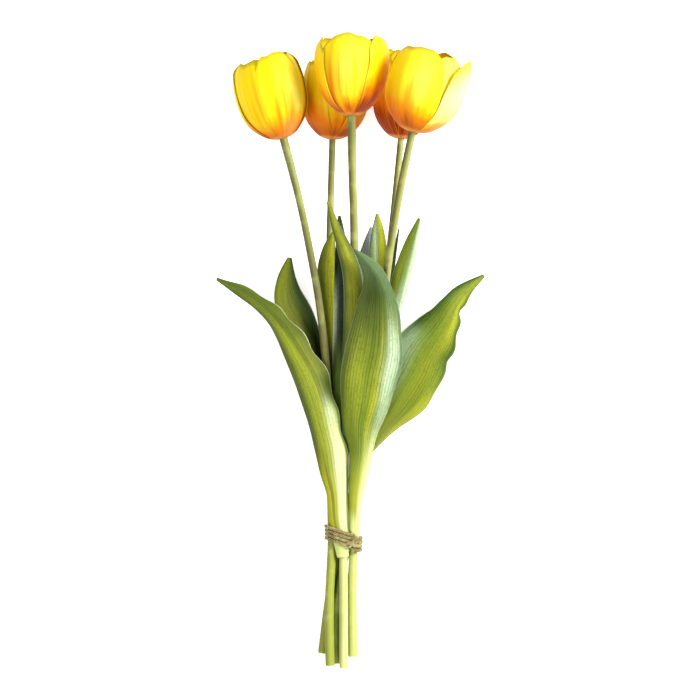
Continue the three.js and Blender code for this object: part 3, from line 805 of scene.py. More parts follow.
@dataclass(frozen=True)
class TwineFinish:
    """Dry plied twine: tone 0 is a strand, a little more the next ones, and 1 a pale loose fibre."""

    tan: Colour = (0.34, 0.255, 0.075)
    cream: Colour = (0.70, 0.63, 0.33)
    # The dark brown is both the twine's fine streaks and painted shade where the strands turn into the bundle
    # and meet.
    brown: Colour = (0.035, 0.024, 0.008)

    def material(self) -> bpy.types.Material:
        """Returns the twine's material."""
        coat = Coat("dry_twine", 0.85, self.brown, Sheen_Weight=0.2)
        wire = coat.wire
        _, edge, _ = coat.effect(EFFECTS.place)
        fine, _ = coat.effect(EFFECTS.streaks, Fineness=9.0, Stretch=240.0, Seed=4.0)
        patches, _ = coat.effect(EFFECTS.mottle, Scale=260.0)
        # Tan on the faces that turn out of the bundle, over the dark brown ground on the faces turned in:
        # painted shade between the strands.
        coat.lay(wire.ramp(edge, 0.35, 0.85), self.tan)
        coat.lay(wire.ramp(fine, 0.35, 0.6, 0.5, 0.0), self.brown)
        coat.lay(wire.ramp(patches, 0.5, 0.7, 0.0, 0.5), self.cream)
        coat.lay(wire.ramp(wire.tone(), 0.5, 0.9), self.cream)
        return coat.finish(fine, 0.0003, 0.8)


def dress(shape: Shape, material: bpy.types.Material, node: str, name: str = "") -> None:
    """Makes a piece and sets it in the frame.

    Args:
        shape: The piece's shape.
        material: Its material.
        node: The solid that it stands for.
        name: Its name, which is the solid's with tulip before it if left out.
    """
    piece = shape.piece(name or f"tulip_{node}", material)
    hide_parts(node)
    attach(piece, "root")
    LOG.info("%s: %d faces", piece.name, len(piece.data.polygons))


@dataclass
class Stem:
    """One stem, from its bloom down to its cut end. Each row is x, y, z and the radius."""

    number: int
    rows: Sequence[Sequence[float]]
    finish: StemFinish
    sides: int = 28
    steps: int = 210
    ridge: float = 0.06
    swelling: float = 0.05
    ring_at: Optional[float] = None
    ring_height: float = 0.3
    ring_width: float = 0.003
    cut_taper: float = 0.9
    top_reach: float = 1.6

    def build(self) -> None:
        """Makes the stem."""
        t = np.linspace(0, 1, self.steps + 1)
        row = along(np.array(self.rows), t)
        angle = ring_angles(self.sides)
        uneven = 1 + self.swelling * np.sin(9.0 * t + 2.1 * self.number) * np.sin(3.7 * t + self.number)
        grooves = self.ridge * np.cos(7 * angle[None] + 3.0 * t[:, None] + self.number)
        radius = (row[:, 3] * uneven)[:, None] + grooves
        if self.ring_at is not None:
            radius += self.ring_height * np.exp(-((t[:, None] - self.ring_at) / self.ring_width) ** 2)
        radius[-1] *= self.cut_taper
        middles = row[:, :3]
        middles[0] += unit(middles[0] - middles[1]) * self.top_reach
        shape = Shape()
        shape.add_tube(tube_rings(middles, radius, self.sides))
        dress(shape, self.finish.material(self.number), f"stem_{self.number}")


@dataclass
class Leaf:
    """One leaf: a channel bent round its midrib, with rippled margins and raised veins.

    Each row is x, y, z of the midrib, half the width, how far each half bends round the midrib and
    where the outer side faces, both in degrees. The wave is the height, number and start of the
    margins' ripples up and down, and the frill is the same for the right margin's in and out.
    """

    number: int
    side: str
    rows: Sequence[Sequence[float]]
    wave: Tuple[float, float, float]
    finish: LeafFinish
    frill: Tuple[float, float, float] = (0.0, 1.0, 0.0)
    across: int = 40
    steps: int = 110
    midrib: float = 1.2
    margin: float = 0.4
    vein_height: float = 0.06
    crease: float = 0.12
    crease_width: float = 0.07
    buckle: float = 0.35
    full_from: float = 8.0
    margin_offset: float = 1.9
    base_spread: float = 1.8

    def surface(self, u: np.ndarray, t: np.ndarray) -> np.ndarray:
        """Returns points on the plain middle of the leaf, as the solid has it."""
        rows = np.array(self.rows, dtype=float)
        height, count, start = self.wave
        row = along(rows, t)
        half_width, bend, facing = row[..., 3], np.radians(row[..., 4]), np.radians(row[..., 5])[..., None]
        side, front = cross_frame(direction_along(rows, t))
        outward, sideways = swivel(side, front, facing)
        roundness = half_width / np.sin(bend)
        full = np.minimum(half_width / self.full_from, 1)
        offset = np.where(u > 0, 0.0, self.margin_offset)
        ripple = height * full * u * u * np.sin(2 * math.pi * count * t + start + offset)
        frill_height, frill_count, frill_start = self.frill
        frilled = frill_height * full * np.maximum(u, 0) ** 3
        grown = smooth(0.2, 0.45, t)
        step = frilled * np.sin(2 * math.pi * frill_count * t + frill_start) * grown
        step = step + self.base_spread * frilled * smooth(0.05, 0.15, t) * (1 - grown)
        out = ripple - roundness * (1 - np.cos(u * bend)) + self.relief(u, t) * full
        beside = roundness * np.sin(u * bend) + step
        return row[..., :3] + sideways * beside[..., None] + outward * out[..., None]

    def relief(self, u: np.ndarray, t: np.ndarray) -> np.ndarray:
        """Returns how far veins and the folded midrib stand out."""
        veins = self.vein_height * np.cos(self.finish.veins * math.pi * u) * (1 - u ** 8)
        fold = -self.crease * np.exp(-(u / self.crease_width) ** 2)
        buckle = self.buckle * np.sin(11 * t + 3 * u + self.number) * np.sin(5 * u + 6 * t)
        return (veins + fold + buckle) * smooth(0.0, 0.15, t) * smooth(0.0, 0.06, 1 - t)

    def thickness(self, u: np.ndarray, t: np.ndarray) -> np.ndarray:
        """Returns the leaf's thickness."""
        return (self.midrib + (self.margin - self.midrib) * np.abs(u) ** 1.5) * (1 - 0.4 * t)

    def build(self) -> None:
        """Makes the leaf."""
        shape = Shape()
        shape.add_blade(self.surface, self.thickness, self.across, np.linspace(0, 1, self.steps + 1))
        dress(shape, self.finish.material(f"leaf_skin_{self.side}", self.number), f"leaf_{self.side}")


class Cup(Enum):
    """The side of a cup, from foot to mouth: height against length, and radius against the greatest."""

    ROUND = ((0.0, 0.12), (0.03, 0.36), (0.1, 0.58), (0.2, 0.79), (0.34, 0.935),
             (0.52, 1.0), (0.71, 0.99), (0.88, 0.9), (1.0, 0.74))
    OPEN = ((0.0, 0.11), (0.03, 0.3), (0.1, 0.51), (0.2, 0.71), (0.34, 0.86),
            (0.52, 0.96), (0.71, 1.0), (0.88, 0.93), (1.0, 0.74))


# Half the angle that a petal covers, in degrees, from foot to tip.
OUTER_SPREAD = {
    "broad": (58, 57, 56, 55, 54, 52, 49, 45),
    "even": (44, 43, 42, 41, 40, 39, 37, 34),
    "slim": (58, 52, 47, 43, 40, 37, 36, 36),
}
INNER_SPREAD = (50, 54, 56, 56, 55, 53, 50, 44)
INNER_TIP_CURL = -0.6
OUTER_TIP_CURL = 0.5
LEAN_POWER = 1.5
PETAL_LAYER_GAP = 1.15
PETAL_TWIST = 0.3
PETAL_SHOULDER = 0.14
PETAL_ROUNDNESS = 3.0
PETAL_TIP_START = 0.62
PETAL_COUNT = 6
TONE_GUARD = 0.01
TONE_SPAN = 0.97
RECEPTACLE_RADIUS = 4.6
RECEPTACLE_HEIGHT = 5.2
RECEPTACLE_SINK = 0.9
RECEPTACLE_RINGS = 17
RECEPTACLE_SIDES = 24


@dataclass
class Bloom:
    """One bloom: three outer and three inner petals on their receptacle, round the heart.

    The mouth is how far it is drawn in, outer the spread of the outer petals, and reach and heat
    the length and the flames of each petal. Width, lean, swing and curl change single petals.
    """

    number: int
    foot: Point
    aim: Point
    length: float
    radius: float
    cup: Cup
    mouth: float
    turn: float
    outer: Tuple[str, str, str]
    reach: Tuple[float, ...]
    heat: Tuple[float, ...]
    finish: PetalFinish
    width: Dict[int, float] = field(default_factory=dict)
    lean: Dict[int, float] = field(default_factory=dict)
    swing: Dict[int, float] = field(default_factory=dict)
    curl: Dict[int, float] = field(default_factory=dict)
    across: int = 36
    steps: int = 44
    petal_foot: float = 1.3
    petal_edge: float = 0.5
    fringe: float = 0.016
    crease: float = 0.4
    flute: float = 0.3
    fine_flute: float = 0.12
    ripple: float = 0.35

    def place(self) -> Tuple[np.ndarray, ...]:
        """Returns the bloom's foot, its axis and two directions across it."""
        axis = unit(np.array(self.aim, dtype=float))
        side, front = cross_frame(axis)
        return np.array(self.foot), axis, side, front

    def petal(self, number: int) -> Surface:
        """Returns the middle surface of one petal.

        Args:
            number: 0 to 2 are the outer petals and 3 to 5 the inner ones.

        Returns:
            The surface, from u across and t along.
        """
        inner = number > 2
        foot, axis, side, front = self.place()
        station = 120 * (number - 3) if inner else 60 + 120 * number
        azimuth = math.radians(self.turn + station + self.swing.get(number, 0.0))
        out, around = swivel(side, front, azimuth)
        half_angles = INNER_SPREAD if inner else OUTER_SPREAD[self.outer[number]]
        spread = np.array(half_angles, dtype=float)[:, None] * self.width.get(number, 1.0)
        lean = self.lean.get(number, 0.0)
        layer = PETAL_LAYER_GAP / 2 * (-1 if inner else 1)
        twist = 0.0 if inner else PETAL_TWIST
        curl = self.curl.get(number, INNER_TIP_CURL if inner else OUTER_TIP_CURL)
        profile = np.array(self.cup.value)
        phase = 1.7 * number + 2.3 * self.number

        def surface(u: np.ndarray, t: np.ndarray) -> np.ndarray:
            """Returns points on the petal's middle."""
            notches = 2 + np.sin(4.0 * u + phase) + 0.5 * np.sin(9.0 * u + 2 * phase)
            rise = t * (1 - PETAL_SHOULDER * np.abs(u) ** PETAL_ROUNDNESS - self.fringe * notches)
            part = along(profile, rise)
            top = np.maximum(rise - PETAL_TIP_START, 0) / (1 - PETAL_TIP_START)
            radius = self.radius * part[..., 1] * (1 + (self.mouth - 1) * rise * rise)
            angle = u * np.radians(along(spread, rise)[..., 0])
            height = self.length * self.reach[number] * part[..., 0]
            body = np.sin(math.pi * np.clip(rise, 0, 1)) ** 0.7
            crease = self.crease * np.exp(-(u / 0.12) ** 2)
            flutes = self.flute * np.cos(3.2 * math.pi * u + phase)
            flutes = flutes + self.fine_flute * np.cos(7.5 * math.pi * u + 2 * phase + 2 * t)
            wave = np.sin(2 * math.pi * 2.1 * t + phase + np.where(u > 0, 0.0, 2.0))
            margin = self.ripple * u ** 6 * wave * t
            relief = (flutes * (1 - u ** 4) - crease) * body + margin
            outwards = layer + twist * u * rise + lean * rise ** LEAN_POWER + curl * top * top + relief
            return (foot + axis * height[..., None]
                    + out * (radius * np.cos(angle) + outwards)[..., None]
                    + around * ((radius + layer) * np.sin(angle))[..., None])

        return surface

    def thickness(self, u: np.ndarray, t: np.ndarray) -> np.ndarray:
        """Returns a petal's thickness: fleshy at the foot, thin at the margin."""
        body = self.petal_edge + (self.petal_foot - self.petal_edge) * (1 - t) ** 2
        return body * (1 - 0.4 * np.abs(u) ** 3)

    def build(self) -> None:
        """Makes the bloom."""
        shape = Shape()
        stops = np.sin(np.linspace(0, math.pi / 2, self.steps + 1))
        heights = along(np.array(self.cup.value), stops)[:, 0]
        for number in range(PETAL_COUNT):
            tone = number + TONE_GUARD + TONE_SPAN * self.heat[number]
            shape.add_blade(self.petal(number), self.thickness, self.across, stops, tone, heights)
        foot, axis, side, front = self.place()
        turn = np.linspace(0.02, math.pi - 0.02, RECEPTACLE_RINGS)
        middles = foot + axis * (RECEPTACLE_HEIGHT / 2 * (1 - np.cos(turn)) - RECEPTACLE_SINK)[:, None]
        rings = tube_rings(middles, RECEPTACLE_RADIUS * np.sin(turn), RECEPTACLE_SIDES)
        shape.add_tube(rings, 0.0, np.zeros(RECEPTACLE_RINGS))
        dress(shape, self.finish.material(self.number), f"bloom_{self.number}")


@dataclass
class Heart:
    """The pistil with its three-lobed head and six stamens, inside a bloom."""

    bloom: Bloom
    finish: HeartFinish = HeartFinish()
    pistil_length: float = 21.0
    stamen_length: float = 17.0
    seat_gap: float = 0.3
    sides: int = 24

    def stalk(self, shape: Shape, stops: Sequence[Sequence[float]], azimuth: float, tone: float,
              lobes: float = 0.0, steps: int = 40) -> None:
        """Adds one stalk.

        Args:
            shape: Where it is gathered.
            stops: Height over the receptacle, distance from the axis and radius, in order.
            azimuth: Where round the axis it stands, in radians.
            tone: The number that the material reads.
            lobes: How deeply its sides are cut in three.
            steps: How many rings it has.
        """
        foot, axis, side, front = self.bloom.place()
        floor = RECEPTACLE_HEIGHT - RECEPTACLE_SINK + self.seat_gap
        t = np.linspace(0, 1, steps + 1)
        row = along(np.array(stops, dtype=float), t)
        out, _ = swivel(side, front, azimuth)
        middles = foot + axis * (floor + row[:, :1]) + out * row[:, 1:2]
        angle = ring_angles(self.sides)
        head = smooth(0.6, 0.95, t)[:, None] if lobes else np.ones((len(t), 1))
        radius = row[:, 2:3] * (1 + lobes * head * np.cos(3 * angle)[None])
        shape.add_tube(tube_rings(middles, radius, self.sides, out=np.broadcast_to(out, middles.shape)), tone)

    def build(self) -> None:
        """Makes the heart."""
        shape = Shape()
        tall = self.pistil_length
        self.stalk(shape, ((0, 0, 3.0), (2.2, 0, 2.6), (tall * 0.5, 0, 2.5), (tall * 0.85, 0, 2.0),
                           (tall * 0.92, 0, 2.9), (tall, 0, 1.6)), 0.0, 0.0, 0.24, 60)
        long = self.stamen_length
        for number in range(PETAL_COUNT):
            azimuth = math.radians(self.bloom.turn + 60 * number + 30)
            stops = ((0.6, 1.6, 0.8), (long * 0.25, 3.0, 0.7), (long * 0.45, 4.4, 0.55))
            self.stalk(shape, stops, azimuth, 0.5, 0.0, 14)
            self.stalk(shape, ((long * 0.42, 4.2, 0.3), (long * 0.5, 4.8, 1.15), (long * 0.75, 5.7, 1.2),
                               (long, 6.6, 0.4)), azimuth, 1.0, 0.12, 24)
        dress(shape, self.finish.material(), f"heart_{self.bloom.number}")


@dataclass
class Tie:
    """Four turns of plied twine round the stems, with its knot, two short ends and loose fibres.

    The fibres of each part are given by their count and the length of the longest one. The levels
    are the heights at which the bundle's outline is worked out, and smoothing is how many points
    on each side take part in the smoothing of the course.
    """

    stems: Sequence[Stem]
    leaves: Sequence[Leaf]
    finish: TwineFinish = TwineFinish()
    turns: int = 4
    pitch: float = 2.7
    top: float = -127.4
    slope: float = 0.4
    lift: float = 0.5
    lift_from: float = 1.0
    slack: float = 1.3
    knot_angle: float = 1.3
    middle_x: float = -5.0
    half_width: float = 12.0
    strand_radius: float = 0.55
    strand_offset: Tuple[float, float] = (0.7, 0.26)
    plies: int = 3
    twist_length: float = 7.0
    steps_per_turn: int = 180
    strand_sides: int = 8
    streak_length: float = 300.0
    turn_fibres: Tuple[int, float] = (120, 2.2)
    knot_fibres: Tuple[int, float] = (40, 4.0)
    end_fibres: Tuple[int, float] = (22, 3.2)
    fibre_radius: float = 0.1
    knot_thickness: float = 0.85
    end_thickness: float = 0.8
    levels: int = 40
    level_margin: float = 8.0
    smoothing: int = 3
    knot_middle: Point = (-0.8, -135.2, 19.5)
    knot_size: Tuple[float, float, float] = (0.8, 0.66, 0.8)
    knot_turn: float = -0.5
    ends: Tuple[Tuple[Point, ...], ...] = (
        ((-0.8, -135.2, 19.6), (1.6, -132.6, 20.6), (4.0, -130.2, 20.8)),
        ((-0.4, -135.6, 19.6), (3.2, -136.6, 20.0), (6.8, -136.4, 19.2)),
    )
    seed: int = 11

    @staticmethod
    def part_at(rows: np.ndarray, y: float) -> float:
        """Returns how far along a curve of rows its y has a given value."""
        low, high = 0.0, 1.0
        falling = rows[0][1] > rows[-1][1]
        for _ in range(30):
            middle = (low + high) / 2
            if (along(rows, np.array(middle))[1] > y) == falling:
                low = middle
            else:
                high = middle
        return low

    def rounds(self, y: float) -> np.ndarray:
        """Returns x, z and radius of all that the twine goes round at one height."""
        found = []
        for stem in self.stems:
            rows = np.array(stem.rows)
            row = along(rows, np.array(self.part_at(rows, y)))
            found.append((row[0], row[2], row[3]))
        for leaf in self.leaves:
            rows = np.array(leaf.rows, dtype=float)
            t = self.part_at(rows, max(y, rows[0][1]))
            for u in (-1.0, -0.5, 0.0, 0.5, 1.0):
                point = leaf.surface(np.array(u), np.array(t))
                found.append((point[0], point[2], (LEAF_MIDRIB + (LEAF_EDGE - LEAF_MIDRIB) * u * u) / 2))
        return np.array(found)

    def course(self) -> Tuple[np.ndarray, np.ndarray]:
        """Returns the twine's middle and the direction out of the bundle at each step."""
        lowest = self.top - self.pitch * (self.turns + 1) - self.level_margin
        heights = np.linspace(lowest, self.top + self.level_margin, self.levels)
        table = np.array([self.rounds(y) for y in heights])
        stops = np.linspace(0, self.turns, self.turns * self.steps_per_turn + 1)
        middles, outward = [], []
        for turn in stops:
            angle = self.knot_angle + 2 * math.pi * turn
            nx, nz = math.cos(angle), math.sin(angle)
            y = self.top - self.pitch * turn - self.slope * self.half_width * nx
            for _ in range(3):
                place = np.clip((y - heights[0]) / (heights[1] - heights[0]), 0, len(heights) - 1.001)
                i = int(place)
                rounds = table[i] + (table[i + 1] - table[i]) * (place - i)
                reach = rounds[:, 0] * nx + rounds[:, 1] * nz + rounds[:, 2]
                x, z, radius = rounds[int(np.argmax(reach))]
                beside = x + (radius + self.slack) * nx
                y = self.top - self.pitch * turn - self.slope * (beside - self.middle_x)
                y += self.lift * max(beside - self.lift_from, 0.0)
            middles.append((x + (radius + self.slack) * nx, y, z + (radius + self.slack) * nz))
            outward.append((nx, 0.0, nz))
        middles = np.array(middles)
        window = 2 * self.smoothing + 1
        kernel = np.ones(window) / window
        for k in range(3):
            padded = np.pad(middles[:, k], self.smoothing, mode="edge")
            middles[:, k] = np.convolve(padded, kernel, mode="valid")
        return middles, np.array(outward)

    def ply(self, shape: Shape, middles: np.ndarray, outward: np.ndarray, size: float = 1.0) -> None:
        """Adds twisted strands along a course.

        Args:
            shape: Where they are gathered.
            middles: The course.
            outward: The direction out of it at each point.
            size: How thick the twine is against its full size.
        """
        way = unit(np.gradient(middles, axis=0))
        wide = unit(np.cross(outward, way))
        gone = np.concatenate([[0], np.cumsum(np.linalg.norm(np.diff(middles, axis=0), axis=1))])
        for number in range(self.plies):
            angle = 2 * math.pi * (gone / self.twist_length + number / self.plies)
            strand = (middles + wide * (self.strand_offset[0] * size * np.cos(angle))[:, None]
                      + outward * (self.strand_offset[1] * size * np.sin(angle))[:, None])
            radius = self.strand_radius * size * (1 + 0.05 * np.sin(gone * 3.1 + number * 2))
            rings = tube_rings(strand, radius, self.strand_sides, out=outward)
            shape.add_tube(rings, number / 10, gone / self.streak_length)

    def fibres(self, shape: Shape, middles: np.ndarray, outward: np.ndarray, most: Tuple[int, float],
               draw: np.random.RandomState) -> None:
        """Adds loose fibres that stand off the twine.

        Args:
            shape: Where they are gathered.
            middles: The points that they may start at.
            outward: The direction out at each of those.
            most: How many there are, and the length of the longest one.
            draw: Where the random numbers come from.
        """
        count, longest = most
        for _ in range(count):
            k = draw.randint(len(middles))
            long = longest * draw.uniform(0.4, 1.0)
            start = outward[k] * 0.5 + draw.normal(0, 0.35, 3)
            bend = draw.normal(0, 1.0, 3)
            t = np.linspace(0, 1, 7)[:, None]
            heading = unit(outward[k] * 0.5 + draw.normal(0, 0.8, 3))
            line = middles[k] + start + heading * long * t + bend * long * 0.35 * t * t
            radius = self.fibre_radius * (1 - 0.6 * t[:, 0])
            shape.add_tube(tube_rings(line, radius, 4, out=np.broadcast_to(unit(bend), line.shape)), 1.0)

    def knot(self) -> Tuple[np.ndarray, np.ndarray]:
        """Returns the course of the knot, a three-crossing loop drawn tight, and its outward directions."""
        t = np.linspace(0.35, 2 * math.pi + 0.1, 90)
        wide, long, deep = self.knot_size
        x = (np.sin(t) + 2 * np.sin(2 * t)) * wide
        y = (np.cos(t) - 2 * np.cos(2 * t)) * long
        cosine, sine = math.cos(self.knot_turn), math.sin(self.knot_turn)
        spun = np.stack([x * cosine - y * sine, x * sine + y * cosine, -np.sin(3 * t) * deep], axis=1)
        return np.array(self.knot_middle) + spun, unit(spun + 2 * UP)

    def build(self) -> None:
        """Makes the tie."""
        draw = np.random.RandomState(self.seed)
        shape = Shape()
        middles, outward = self.course()
        self.ply(shape, middles, outward)
        self.fibres(shape, middles, outward, self.turn_fibres, draw)
        knot, knot_out = self.knot()
        self.ply(shape, knot, knot_out, self.knot_thickness)
        self.fibres(shape, knot, knot_out, self.knot_fibres, draw)
        for stops in self.ends:
            line = along(np.array(stops), np.linspace(0, 1, 40))
            out = np.broadcast_to(UP, line.shape)
            self.ply(shape, line, out, self.end_thickness)
            self.fibres(shape, line[-5:], unit(np.gradient(line, axis=0))[-5:], self.end_fibres, draw)
        dress(shape, self.finish.material(), "tie", "twine_tie")


STEMS = (
    Stem(1, (
        (-46.3, 144.6, 42, 2.7), (-36, 104.7, 37.2, 2.5), (-28.7, 69.7, 30.8, 2.6),
        (-22.4, 34.7, 26.7, 2.7), (-18.2, 0, 22.6, 2.8), (-15.9, -35, 18.8, 2.8), (-14.6, -70, 15.2, 2.9),
        (-13.8, -105, 12.4, 3), (-13.4, -137, 10.9, 3), (-15.2, -180, 10.4, 3.1), (-14.6, -220.9, 10, 3.1),
    ), StemFinish((0.34, 0.38, 0.055), blush_at=0.38, blush_amount=0.2)),
    Stem(2, (
        (-12.9, 145.4, 21.9, 2.3), (-13.9, 110, 19.9, 2.4), (-14.7, 76, 17.3, 2.5), (-14.5, 35, 14.5, 2.6),
        (-13.5, 0, 12.3, 2.7), (-12.2, -35, 10.1, 2.8), (-11.2, -70, 8, 2.9), (-10.2, -105, 6, 2.9),
        (-9.8, -137, 4.9, 2.9), (-15.9, -178, 3.5, 3), (-20.2, -212.5, 3.1, 3.1),
    ), StemFinish((0.33, 0.37, 0.05), shade_amount=0.5)),
    Stem(3, (
        (0.3, 158.8, 68, 2.9), (1, 120, 60.8, 2.8), (2, 85, 50.7, 2.8), (2, 45, 41, 2.7), (0.4, 5, 33, 2.8),
        (-2.2, -35, 25, 2.8), (-4.4, -70, 18.2, 2.9), (-5, -105, 13.6, 3), (-5.3, -137, 11.8, 3),
        (-5.2, -180, 10.4, 3.1), (-5.1, -222.3, 9.6, 3.1),
    ), StemFinish((0.70, 0.75, 0.28), shade=(0.34, 0.8), shade_amount=0.85)),
    Stem(4, (
        (34.6, 145.8, 21, 2.3), (31, 108, 19.2, 2.4), (27, 70, 16.6, 2.5), (21.8, 35, 14, 2.6),
        (16, 0, 12, 2.7), (10.2, -35, 9.9, 2.8), (5.2, -70, 7.9, 2.8), (0.6, -105, 6, 2.9),
        (-3.2, -137, 4.8, 2.9), (-10, -180, 5.7, 3), (-10, -219.5, 5.6, 3),
    # This stem lies low, under the others: its dark lower green is painted shade.
    ), StemFinish((0.13, 0.19, 0.03), shade=(0.3, 0.8), shade_amount=0.9)),
    Stem(5, (
        (41.4, 146.9, 84.6, 2.4), (33.4, 108, 74.4, 2.5), (27.4, 72, 60, 2.6), (22.6, 35, 48.6, 2.7),
        (17.6, 0, 39.8, 2.8), (11.8, -35, 31.4, 2.8), (6.6, -70, 23.4, 2.9), (2.8, -105, 16, 2.9),
        (1.7, -137, 11.3, 3), (0.8, -176, 7, 3.3), (1.3, -214.6, 6.2, 3.2),
    ), StemFinish((0.52, 0.58, 0.15), shade_amount=0.3), ring_at=0.855),
)

